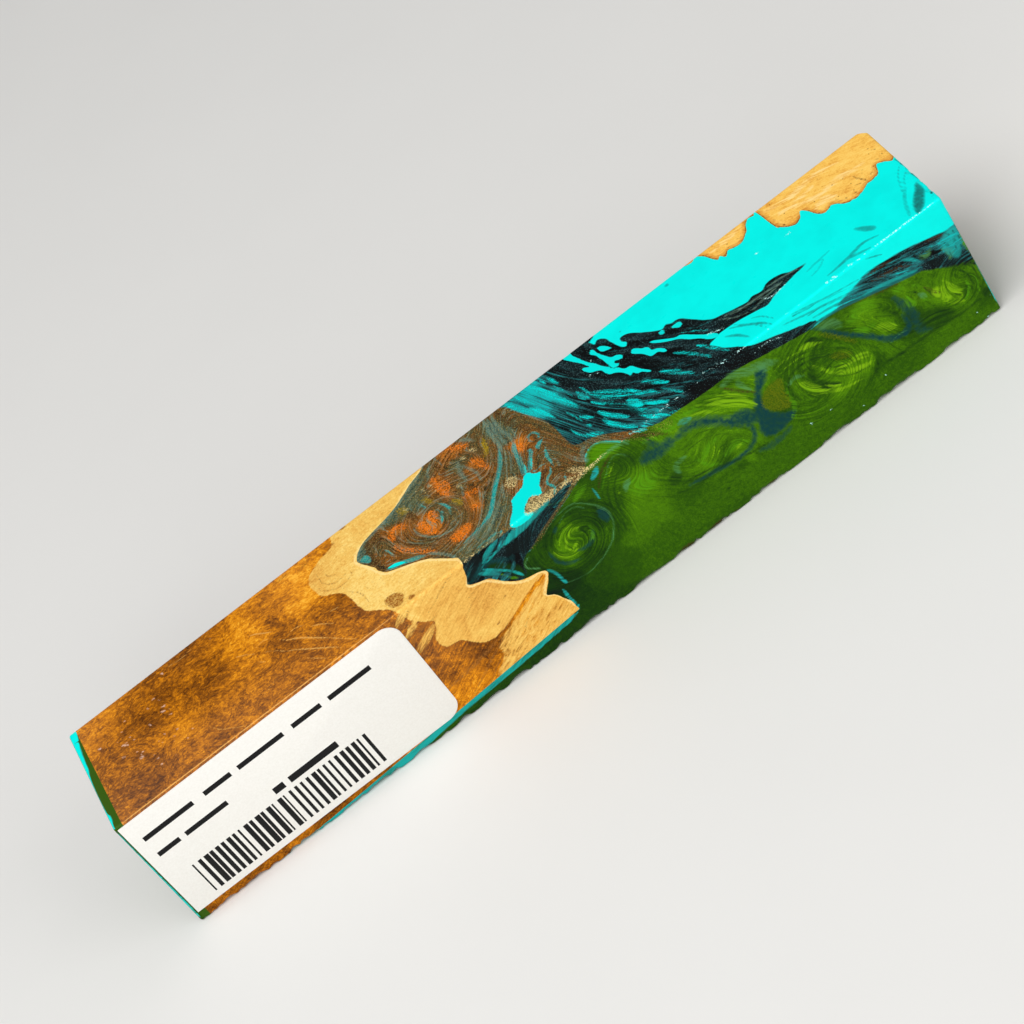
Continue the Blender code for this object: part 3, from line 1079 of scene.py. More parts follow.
WARMTH = Tone("warmth", 0.8, (
    "-19.6,7,0.02 -18,6.2,0.5 -16.6,5.8,0.62 -18.6,9.6,0.6 -17.6,8,0.52 -16.6,9,0.45 -17.4,11.2,0.62 "
    "-15.8,10.6,0.72 -16,8.2,0.4 -15.4,12.4,0.55 -14.9,7.4,0.92 -13.7,7.4,0.88 -14.2,4.8,0.2 "
    "-13.6,5.8,0.18 -12.4,6.8,0.6 -13.4,9.4,0.66 -12.6,11,0.58 -13.6,13.2,0.62 -12.2,4,0.22 "
    "-10.4,2.6,0.12 -11.9,7.6,0.66 -11,5.6,0.22 -10,5.4,0.24 -9,4.4,0.42 -8.2,6.4,0.6 -11,10.6,1.02 "
    "-10.2,12.4,0.95 -9.6,9.6,0.86 -8.6,8.2,0.4 -8.2,10.8,0.34 -11.6,12.8,0.4 -11.8,14.8,0.6 "
    "-11.4,16.8,0.52 -9.6,14.8,0.6 -8.2,13.4,0.45 -8,15.8,1 -7.8,17.4,0.5 -8.8,18.6,0.32 -6.6,6,0.95 "
    "-7,4,0.86 -6.2,8,0.8 -6.2,10.4,0.42 -6,13.4,0.44 -5.4,15.2,0.62 -7.4,2.4,0.3 -8.8,1.8,0.2 "
    "-6.4,1.2,0.5 -5.4,3,0.74 -5.2,6.2,0.56 -4.8,8.6,0.36 -4.6,10.8,0.82 -4.8,13.2,0.9 -3.6,4.4,0.32 "
    "-3.2,1.2,0.84 -1.8,1.8,0.8 -1.6,3.4,0.5 -3.6,9.6,0.72 -2.8,11.6,0.56 -3.8,16.2,0.14 "
    "-5.8,17.8,0.18 -6,19.4,0.26 -3.2,19.8,0.4 -1.4,6.8,0.8 -0.8,9.2,0.72 -2,13.6,0.32 -1.2,15.2,0.3 "
    "0.2,0.9,0.42 0.6,2.6,0.44 0.8,4.8,0.5 0.4,7.2,0.5 0.2,11.2,0.36 0.4,14,0.62 0.6,15.4,0.7 "
    "1.8,9.6,0.34 1.6,12.2,0.34 3,3,0.06 4.9,1.2,0.5 5.2,3.4,0.45 4.2,5.2,0.14 5.8,6,0.56 4.3,9.2,1 "
    "4,11.2,0.6 5,12.6,0.54 3.6,16.6,0.62 4.6,16,0.64 7.2,7.6,0.52 7.6,9.8,0.48 7.2,12.8,0.5 "
    "8.3,12,0.48 7.8,15.6,0.5 6.6,14.6,0.4 7.4,17.4,0.56 5.4,18.4,0.5 8.4,19.2,0.5 11.8,17.2,0.4 "
    "14.4,19,0.5 16.6,21.2,0.55 18.6,23,0.5 -8,22,0.2 0,23.6,0.4 5,-5,0.6 0,-10,0.7 -6,-16,0.5 "
    "-14,60,0.6"
))

LIGHT = Tone("light", 1.0, (
    "-50,44,0.36 -30,42,0.34 -14,42,0.27 -8,40,0.23 2,42,0.28 20,42,0.4 40,42,0.42 60,42,0.45 "
    "-4.8,27.4,0.12 -3.4,25.8,0.3 -2.6,27.4,0.26 -3.2,31.4,0.05 -0.8,29.6,0.22 0,25.6,0.24 "
    "-1.4,33,0.12 -1,36.4,0.2 -0.6,39,0.24 2.2,27.2,0.6 0.4,29,0.6 1.6,29.8,0.6 2,28.4,0.5 3.4,28,0.3 "
    "4.8,26.4,0.32 4.6,30.2,0.36 3,31.6,0.24 6.6,28,0.2 5.8,24.6,0.26 6.4,23.2,0.5 8,21.6,0.3 "
    "8.6,24.6,0.36 7.2,31.4,0.34 2.4,35.4,0.3 6,36,0.37 8.6,30,0.38 9.6,27,0.36 9,33.4,0.5 "
    "10.4,24.6,0.48 11.6,22.8,0.4 13,23.4,0.38 12,25.6,0.52 12.6,27.4,0.62 14,27.6,0.56 11,30.6,0.55 "
    "13.4,31,0.53 14.6,21.6,0.44 16.4,23.4,0.42 17,28,0.45 16.6,31.4,0.43 18.6,24,0.6 20.6,23.2,0.58 "
    "19.6,27.4,0.52 19.6,30.4,0.49 18.4,32.4,0.4 22.6,23.6,0.6 24.6,23.8,0.56 23.2,27.4,0.53 "
    "22.6,29.4,0.56 21.4,31.2,0.54 23.6,32.2,0.44 26,26.4,0.58 25.8,31.8,0.52 27.6,24.2,0.56 "
    "29.4,25.8,0.6 29.2,23.4,0.55 31.6,24,0.6 31.6,26,0.56 34.6,24.2,0.52 37,25.2,0.46 32.8,30,0.42 "
    "33.6,31.8,0.34 35.4,27.2,0.44 34.6,33.4,0.46 37.4,27.4,0.44 38.2,31.2,0.32 36.8,31.4,0.58 "
    "40.2,26.4,0.46 39.4,30.6,0.5 41,29.4,0.4 41.2,32.4,0.56 43.4,33.8,0.6 42.6,31,0.36 44.2,32.4,0.5 "
    "44.4,28.6,0.42 43.4,26.6,0.4 46.4,25.8,0.42 46.8,27.6,0.64 48.6,27.6,0.62 46.4,31.8,0.42 "
    "49.4,31.2,0.6 50.4,28,0.4 51.4,29.4,0.34 50.6,31.6,0.4 48.8,35.6,0.42 53.4,28.8,0.62 "
    "53.4,30.8,0.52 55.2,29.6,0.52 52.6,33,0.3 55.4,31.8,0.5 54.6,34.4,0.44 56.8,30.4,0.48 "
    "58.6,33.6,0.62 57.6,32.4,0.6 58.4,35.4,0.5 56.6,36,0.38 60.8,32.4,0.42 61.6,34.4,0.4 63,28.8,0.7 "
    "62.8,36,0.4 20,37,0.44 30,37.4,0.45 44,37.6,0.43 56,39,0.47 36,39.4,0.44 10,38,0.43 0,52,0.5 "
    "28,50,0.55 50,54,0.5 -26,53,0.45 10.8,19.2,0.56 12.2,19.9,0.56 9.8,19.8,0.52"
))

STIR = Tone("stir", 1.4, (
    "2.6,28.4,0.8 -1,31,0.6 -3.6,27.6,0.5 6.5,30,0.8 4,24.4,0.5 9,30,0.6 11,25,0.6 9,22,0.4 "
    "13,28.4,0.3 12,32.6,0.06 7.6,35,0.1 0,35.4,0.04 17,24,0.4 17,30.6,0.5 22.6,30,0.7 20,24,0.45 "
    "21,27,0.3 25,25,0.6 29,26,0.8 27,32,0.5 32,30,0.25 34,25.6,0.45 38,28,0.8 40.2,31.4,0.9 "
    "43,33.4,0.8 37,33,0.7 40,35.8,0.5 45,28,0.5 47,27,0.4 48,31,0.7 50,33.4,0.6 53,30,0.45 56,33,0.4 "
    "58.6,33.6,0.7 61,33.4,0.8 62,36,0.4 0,38,0.04 10,37,0.05 20,37.4,0.05 30,38,0.04 40,39,0.04 "
    "50,38.8,0.04 60,39.4,0.08 -8,40,0.04 15,34.6,0.06 -30,41,0.1 2,52,0.7 28,50,0.7 50,54,0.7 "
    "-26,53,0.6 30,60,0.3 0,-14,0.4 40,-16,0.4"
))

NAVY = Layer("navy", bleed=1.8, patches=(
    ("14.9,25.4 15.6,24.2 16.8,24.4 19.4,24.8 19.8,25.5 17.4,26", 0.7, 0.8),
    ("26.4,28 27.8,28 29.2,28.8 30,31 28.8,30.9 27.4,29.8", 0.5, 0.9),
    ("32.5,24.7 33.8,25 33.2,26.4 31.9,27.5 31.2,29 31.2,30.6 32,32 33.2,33 34.1,33.6 32.8,34.3 "
     "31,34.6 29.6,34.2 29.1,32.8 29.5,31.4 29.8,29.6 30.6,28 31.3,26.8 32,25.6", 0.35, 0.92),
    ("6.8,27 7.6,27.1 7.8,28.2 7.3,29.3 6.8,28.6", 0.3, 0.75),
), streaks=(
    ("16.6,22.8 17.4,24.4 18.2,25.4", 0.3, 0.6, 0.5),
    ("19,25.4 22,25.1 23.8,25.9 25.4,27.3 26.8,28.9 28.2,30.6", 0.5, 0.7, 0.9, 0.2),
    ("27.4,29.6 28.4,31.2 28,33 26.6,33.9 24.4,34 21,33.3 18,32.7", 0.24, 0.35, 0.85, 0.2),
    ("27.8,35.2 30,35.7 32.4,35.2", 0.25, 0.6, 0.5),
    ("41.2,24.6 42.4,26 43.4,27.4 44.6,28.9 46,30.3 47.2,31.9 48.4,33.2", 0.24, 0.35, 0.85, 0.3),
    ("46.6,30.6 47.8,32.4 49.2,33.8 51.2,34.3 51.9,33.2 51.7,31.8", 0.4, 0.35, 0.85, 0.3),
    ("51.8,28.6 52.5,30.6 52.9,32.8 52.9,35.4 54,36.3", 0.5, 0.55, 0.6, 0.3),
    ("1,25.8 1.3,25.3 1.6,24.9", 0.2, 0.3, 0.6),
    ("-1,27.6 -0.8,29.4 0.2,30.8 1.8,31.4", 0.14, 0.3, 0.6),
    ("2.2,30.2 3.4,30.5 4.4,30 5,29", 0.22, 0.3, 0.6),
    ("-5,24.6 -8,22.8 -10,23.2 -11.2,23.8", 0.5, 0.5, 0.8),
))

FOREST = Layer("forest", bleed=1.3, patches=(
    ("16.3,30.2 17.2,29.6 17.9,30.4 17.2,31.3 16.5,31.1", 0.5, 0.6),
    ("39.5,25.7 40.4,25.6 41.2,26.3 41.5,27.3 40.6,26.6", 0.25, 0.9),
    ("61.8,36.8 62.6,36.4 62.9,37.6 62.2,38.2", 0.3, 0.7),
    ("53.8,33.6 56,34.6 57.4,36.6 54.6,37 53.2,35.4", 0.9, 0.65),
), streaks=(
    ("16.2,32.6 18.8,33.4 22.4,33.4 25.8,34.4 29,35", 0.14, 0.3, 0.7),
    ("17,31.8 19.4,32.2 22.6,33", 0.1, 0.2, 0.6),
    ("17.8,29 19.6,28.2 22.2,28 24.8,29.2 26.8,31.6", 0.05, 0.14, 0.5),
    ("19.2,27.6 22,26.8 24.6,28 26.6,30", 0.05, 0.14, 0.5),
    ("8.6,33.6 8.5,30.6 8.6,27.8 9.4,25.2 10.8,23.6", 0.1, 0.2, 0.7, 0.2),
    ("9.2,31.2 9.3,28.4 10,26 11.2,24.4 12.6,23.6", 0.12, 0.2, 0.7, 0.2),
    ("8,32.6 8,29 8.3,26.2 9.2,24 10.6,22.6 12.2,22.1", 0.07, 0.16, 0.6, 0.2),
    ("9.8,29.4 10.1,27.4 11,25.8", 0.07, 0.16, 0.5, 0.2),
    ("12.4,22.8 13.4,22.6 14,23.8 13.6,24.6", 0.3, 0.5, 0.5),
    ("3,27.5 3.8,27.9 4.2,28.4 3.4,28.7", 0.14, 0.2, 0.85),
    ("0.2,26.6 1.6,25.9 3.4,25.6 5,26.6 5.8,28.4 5.2,30.4 3.2,31.6", 0.07, 0.16, 0.6, 0.2),
    ("-0.4,28 -0.3,26.8 0.8,25.4 2.6,24.6 4.6,25 6.2,26.6", 0.07, 0.16, 0.6, 0.2),
    ("-1.8,30.8 -0.6,32.4 1.6,33 4,32.6 5.8,31", 0.09, 0.2, 0.7, 0.2),
    ("0.6,32 2.6,32.2 4.6,31.6", 0.06, 0.15, 0.5, 0.2),
    ("34.2,26.8 36.2,26.5 38.6,26.9 40.8,28 42.8,29.6 44.6,31.8", 0.06, 0.16, 0.6, 0.2),
    ("33.8,27.8 36,27.4 38.4,27.6 40.4,28.7 42,30.2", 0.06, 0.16, 0.55, 0.2),
    ("35.4,32.8 34.9,30.8 35.3,29 37,28.2 39.2,28.5 41,29.6", 0.13, 0.25, 0.7, 0.2),
    ("38,30 38.2,31.6 39.2,33.2 40.6,34.4", 0.3, 0.4, 0.6),
    ("38.2,32.4 39,33.8 40.4,34.8", 0.06, 0.15, 0.6),
    ("40,30.4 41.2,31.8 43.2,32.8 45.6,33.6", 0.08, 0.18, 0.6),
    ("39.6,31.4 40.8,33.2 42.8,34.6 45.2,35.2", 0.06, 0.16, 0.5),
    ("36.6,29.6 37.8,29.2 39.2,29.6", 0.12, 0.25, 0.5),
    ("47.2,29.6 47,29 47.3,28.6", 0.1, 0.2, 0.7),
    ("50.4,29.8 51.2,31.2 51.2,32.6", 0.2, 0.3, 0.6),
    ("50,30.6 50.6,31.8 50.4,32.8", 0.06, 0.15, 0.5),
    ("53.8,29.4 54.4,29.9 54.8,30.5", 0.12, 0.2, 0.8),
    ("55.8,30.4 56.2,32 56.6,32.6", 0.12, 0.25, 0.6),
    ("46.6,36.2 49.6,36.7 53.4,36.8 57.4,37.2 61.4,37.4", 0.14, 0.4, 0.6, 0.2),
    ("60.2,31 61.2,32.4 61.4,34.2 60.8,36", 0.07, 0.2, 0.6, 0.2),
    ("61,30.6 62.2,32.2 62.3,34.4 61.8,36.6", 0.08, 0.2, 0.6, 0.2),
    ("-4.8,28.4 -5.6,26.4 -6.8,24.6 -7.8,23.4", 0.6, 0.5, 0.75),
    ("-2.6,29.6 -3.4,31.4 -3,33.2", 0.7, 0.35, 0.85),
    ("21.6,37 22,37", 0.14, 0.2, 0.8),
    ("28.9,38 29.2,38", 0.12, 0.2, 0.7),
    ("36.1,36.8 36.5,37", 0.1, 0.2, 0.6),
))

LEAF = Layer("leaf", bleed=1.6, patches=(
    ("11.8,27 13.2,26.6 14.6,27.2 14.6,28.6 12.6,29", 0.9, 0.5),
    ("10.2,19.2 11,18.4 12.2,18.6 13.2,20 13.6,21 10.4,20.8", 0.4, 0.7),
), streaks=(
    ("16.6,22.6 19,23.2 21.6,23.2 24,23.6", 0.5, 0.7, 0.6),
    ("21.2,30.6 22.4,29.6 23.8,29.2", 0.25, 0.5, 0.5),
    ("20.6,30.2 21.4,32 22.8,33", 0.12, 0.3, 0.5),
    ("23.8,32.4 25.6,31.8 27,32.8", 0.3, 0.4, 0.6),
    ("45.6,27.4 47.6,27 49,27.6", 0.7, 0.8, 0.5),
    ("45.8,29 46.8,30 48,30.2", 0.3, 0.5, 0.5),
    ("35,28.8 34.4,30.4 34.6,32.6 33.6,34.6", 0.1, 0.2, 0.5),
    ("34,30.8 34.2,32.6 33.2,34.2", 0.07, 0.2, 0.5),
    ("52.3,28 54,28.2 55.2,29.4", 0.4, 0.5, 0.6),
    ("53.2,30 53.6,31.8", 0.35, 0.5, 0.5),
    ("55,31.4 55.6,32.2", 0.3, 0.4, 0.6),
    ("62.9,27.2 63.2,28.6 63.1,30.6", 0.5, 0.3, 0.8),
    ("59.6,36 60.6,35 60.8,33.6", 0.12, 0.25, 0.7),
    ("61.8,33 61.9,35 61.5,36.6", 0.1, 0.2, 0.5),
    ("5.4,23.4 6.4,22.9 7.4,22.6", 0.35, 0.4, 0.7),
    ("4.2,30.2 4.9,29.2 5,28", 0.18, 0.3, 0.6),
    ("8.8,24.8 9.8,23.6 11.2,22.6", 0.1, 0.2, 0.5),
    ("-7.2,25.7 -6.6,26.8 -5.9,27.8", 0.12, 0.2, 0.45),
))

LIME = Layer("lime", bleed=1.5, patches=(
    ("38.5,26.1 39.5,25.9 40.6,26.6 41.4,27.3 40.3,27 39.2,26.6", 0.2, 0.85),
    ("56.6,31.6 57.6,31.9 58.6,32.9 59.5,34.2 59.3,35.2 58.2,34.8 57.2,33.6 56.5,32.6", 0.5, 0.62),
), streaks=(
    ("25.4,23.4 27,24.8 28.6,26.9 29.8,28.8", 0.26, 0.3, 0.85),
    ("24.2,23.2 26.2,24.8 27.8,26.8 29,28", 0.14, 0.25, 0.7),
    ("27.9,24 28.8,25.6 29.7,27.4 30.3,28.9", 0.36, 0.3, 0.8),
    ("26.8,23.6 28,25 29.2,27", 0.12, 0.2, 0.8),
    ("22.4,23.6 24.4,24.6 26,26.2", 0.12, 0.25, 0.6),
    ("-0.5,28 -0.1,29.2 0.8,30.1 1.9,30.3", 0.2, 0.22, 0.8),
    ("1.1,28.6 1.9,27.4 3,26.9 3.9,27.2", 0.2, 0.22, 0.85),
    ("1.4,29.5 2.1,29.2 2.9,28.7", 0.16, 0.2, 0.8),
    ("0.4,28.4 0.9,27.2 2,26.3 3.4,26.1", 0.07, 0.15, 0.6),
    ("1.2,28.9 1.6,29.7 2.3,29.9", 0.1, 0.15, 0.7),
    ("35.9,29.9 36.4,30.9 37.2,32.3 38,33.4 39.6,34.8 41.4,35.6 43.2,36", 0.2, 0.22, 0.85),
    ("36.4,30.5 37.1,30.9 37.7,32.2 38.4,32.9", 0.22, 0.25, 0.95),
    ("38.8,29.4 39.6,30.6 40.2,31.8 41.2,33", 0.18, 0.25, 0.7),
    ("40.6,32.3 41.6,33.2 43,34 44.6,34.6 46,34.8", 0.3, 0.22, 1.0),
    ("40.9,32 42.2,32.6 44,33 45.8,33.8", 0.14, 0.2, 0.85),
    ("43,32.4 44.6,32.6 46,33.4", 0.12, 0.2, 0.6),
    ("38.8,33 40,34.3 41,34.8", 0.08, 0.15, 0.7),
    ("36,31.4 37,33.2 38.6,34.4 40.4,35.6", 0.06, 0.15, 0.6),
    ("33.8,26.6 35.4,26.1 37.4,26.1 39.2,26.6", 0.06, 0.15, 0.55),
    ("34.6,27.4 36.4,27 38.8,27.2", 0.05, 0.12, 0.5),
    ("47.8,30.8 49,31.2 50.2,32.4", 0.35, 0.35, 0.6),
    ("48.2,31.6 49.4,32.4 50.4,32.7", 0.1, 0.2, 0.5),
    ("57,33.6 58,35.2 59.4,36", 0.12, 0.25, 0.5),
    ("58,30.9 58.6,32 59.4,33.4", 0.08, 0.2, 0.5),
    ("22.2,31.6 23,30.6 23.4,29.6", 0.05, 0.14, 0.5),
    ("23,31.4 24.4,30.8", 0.05, 0.14, 0.5),
    ("25.4,32.6 26.6,32.2", 0.12, 0.25, 0.5),
    ("10.2,24.2 10.9,23.2 11.9,22.5", 0.06, 0.15, 0.5),
    ("10.3,26.6 10.4,26.9", 0.12, 0.15, 0.8),
))

SAGE = Layer("sage", bleed=1.5, streaks=(
    ("7,26.4 7.8,28 7.6,30 6.4,31.8", 0.06, 0.14, 0.5),
    ("-1.3,33.3 0.4,33.8 2.4,33.9 4.6,33.2 6.6,31.8 7.6,30 7.9,28 7.2,26.2 6.4,25.2",
     0.08, 0.16, 0.6, 0.1),
    ("-3.2,26 -4.1,26.6 -4.2,27.4 -3.5,28.2 -2.9,28.7", 0.1, 0.14, 0.85, 0.1),
    ("11.2,27.2 11.6,26.4 12.3,26", 0.36, 0.3, 0.75),
    ("10.2,23.3 11.2,22.2 12.3,21.6 13.2,22 13.7,23", 0.07, 0.14, 0.8, 0.1),
    ("9.4,20.2 9.8,18.8 10.8,17.9 12,18 13,19.2 14,20.4 15,21.2", 0.16, 0.25, 0.8, 0.1),
    ("9.6,21 11.4,20.5 13.6,20.6 14.6,21.4", 0.2, 0.35, 0.7),
    ("28.2,23.2 29.6,22.9 31.8,23.8 34,24.6 35.4,25.4", 0.5, 0.7, 0.55),
    ("30.4,23.4 30,24.6 30.8,26.4", 0.25, 0.4, 0.5),
    ("32.6,25.9 33.4,25.5 34.4,25.7", 0.07, 0.15, 0.7),
    ("35.2,29.6 36.2,29.2 37.2,29.8", 0.2, 0.3, 0.6),
    ("17.8,30 18,28.8 19.4,28.6", 0.2, 0.5, 0.4),
    ("42,25 43.4,25.8 44.4,27", 0.5, 0.6, 0.45),
    ("-0.4,24.8 1.4,24 3.6,23.5 5,23.7 6,24.6 7,25.8", 0.07, 0.14, 0.75, 0.1),
    ("2,24.9 3.6,24.1 5,24.3 5.8,25.4", 0.05, 0.12, 0.6, 0.1),
    ("2,21.2 4,22.2 6.2,21.4 7.6,20.9", 0.1, 0.2, 0.5),
    ("60.2,27.2 60.8,28.4 60.4,29.2", 0.35, 0.4, 0.7),
    ("54.8,30.6 55.4,31.8", 0.25, 0.35, 0.6),
    ("48.6,34.2 50,33.9 51.4,34.2", 0.06, 0.15, 0.6),
    ("57.2,25.9 57.8,26.4 58.8,26", 0.3, 0.4, 0.6),
))

BROWN = Layer("brown", bleed=1.6, patches=(
    ("4.2,15.7 5.2,15.8 4.7,16.6 3.9,17.4 3.4,18.2 3.2,17.4 3.7,16.4", 0.14, 0.9),
), streaks=(
    ("-18.2,5.9 -18.9,8.4 -18.8,10.2 -18.3,12.2", 0.42, 0.35, 0.8, 0.15),
    ("-16.6,5.6 -16.9,6.8 -17.4,7.8", 0.4, 0.4, 0.6),
    ("-14.3,8.1 -14.85,9.2 -14.5,10.6 -13.5,12 -12.2,13.6 -11.1,15.2", 0.14, 0.14, 0.9, 0.1),
    ("-12.9,9 -12.8,10.6 -12,12.6 -10.8,13.9 -9.2,14.6 -7.4,14.4", 0.1, 0.14, 0.7, 0.1),
    ("-11.6,5.8 -11.7,7.2 -11.3,8.4", 0.3, 0.3, 0.6),
    ("-5.8,1.8 -5.4,3.4 -5.6,5", 0.3, 0.4, 0.5),
    ("2.9,0.3 2.75,2.6 2.7,5 2.6,7.2", 0.07, 0.12, 0.8, 0.1),
    ("3.5,0.3 3.35,2.4 3.3,4.6 3.5,7 3,9.4", 0.07, 0.12, 0.8, 0.1),
    ("4.6,0.4 4.8,2.6 5.4,5.4 6.4,7.6", 0.3, 0.5, 0.5),
    ("2,8 1.4,9.6 0.4,11.6", 0.1, 0.2, 0.6),
    ("2.5,9.4 2.3,10.8 1.9,12", 0.08, 0.16, 0.6),
    ("-1,25.1 1,23.9 3.4,22.9 6,21.7 7.8,20.8", 0.1, 0.2, 0.7, 0.1),
    ("8.6,24.2 9.8,22.6 11.2,21.6 12.2,21.1", 0.12, 0.25, 0.6),
    ("14.8,20.6 16.4,21.5 17.8,22.6 19.4,24", 0.22, 0.3, 0.7),
    ("27.8,23.4 28.6,24.2 29.8,25.8 31.2,27.2", 0.12, 0.3, 0.6),
    ("50.4,23.4 52,23.3 54,23.7", 0.22, 0.2, 0.8),
    ("50.6,24.4 52,24.8 54,25.2 55.6,26.2", 0.2, 0.25, 0.7),
    ("58.6,24.6 60.4,25.2 61.4,25.8", 0.2, 0.25, 0.7),
    ("45,24.6 47.6,25.4 50.2,26.4 53.4,27.3", 0.16, 0.3, 0.4, 0.1),
    ("55.8,30.2 56.4,31.6 57.2,32.6", 0.1, 0.3, 0.4),
    ("12,40.7 13.4,40.5 14.8,40.9", 0.3, 0.25, 0.9),
    ("16.4,41 18.2,40.6 20,40.9", 0.3, 0.25, 0.9),
    ("20.8,40.8 21.6,41", 0.2, 0.25, 0.8),
    ("25.8,41 26.8,40.7 27.8,41", 0.24, 0.25, 0.9),
    ("-24.6,41 -21,40.9 -17.6,41.2", 0.14, 0.2, 0.7),
))

RUST = Layer("rust", bleed=1.8, patches=(
    ("-11.9,9.4 -11.3,9.1 -10.8,9.9 -10.6,11 -10.1,12.2 -10.2,12.9 -10.9,12.5 -11.7,11.2", 0.2, 0.95),
    ("-10.2,8.6 -9.4,8.6 -9.2,9.5 -9.4,10.6 -9.9,11 -10.2,9.8", 0.25, 0.7),
    ("-9.4,15.2 -8.4,15 -6.9,15 -6.5,15.8 -7.4,16.6 -8.6,16.9 -9.3,16.2", 0.22, 0.95),
    ("3.9,8.8 4.3,8.3 4.8,9.2 4.6,10 4,10", 0.2, 0.85),
), streaks=(
    ("-15.3,8.9 -15.3,7.7 -14.5,7 -13.6,7.3 -13.3,8.1", 0.3, 0.25, 0.85, 0.1),
    ("-6.9,3.6 -6.8,5 -6.9,6.6 -6.5,8", 0.36, 0.3, 0.8, 0.15),
    ("-6,5.4 -5.9,6.6 -6.3,7.6", 0.2, 0.3, 0.6),
    ("-3,0.7 -2.2,1.4 -1,2.4", 0.3, 0.35, 0.7),
    ("-4.7,10 -4.4,11", 0.3, 0.4, 0.55),
    ("-4.9,13 -4.5,13.4", 0.32, 0.35, 0.8),
    ("-1.6,5.4 -1,6.8 -0.6,8.6", 0.3, 0.4, 0.5),
    ("-15.6,9.8 -15.2,11.2 -14.2,12.6 -13,14.2 -11.8,15.8", 0.2, 0.3, 0.5),
    ("-3.6,10.4 -3.4,11.4", 0.25, 0.4, 0.4),
))

GOLD = Layer("gold", bleed=1.6, streaks=(
    ("1.3,3.2 0.9,4.4 0.7,5.6 0.1,6.6", 0.3, 0.3, 0.9),
    ("-6.4,9.6 -6,10.4 -5.8,11.2", 0.3, 0.4, 0.7),
    ("-12.6,4.4 -12,5.6", 0.4, 0.5, 0.6),
    ("-9.6,5.4 -9,6.4 -8.8,7.4", 0.2, 0.4, 0.6),
))

OLIVE = Layer("olive", bleed=1.6, patches=(
    ("31.1,29.4 31.9,28.2 33.2,27.7 34.6,28 34.2,30 34.2,31.8 33.4,32.4 32,31.4 31.2,30.4", 0.35, 0.7),
), streaks=(
    ("41.6,30.2 43.6,31.6", 0.4, 0.6, 0.4),
    ("41.6,26 43.2,28 45,30.6", 0.2, 0.4, 0.4),
))

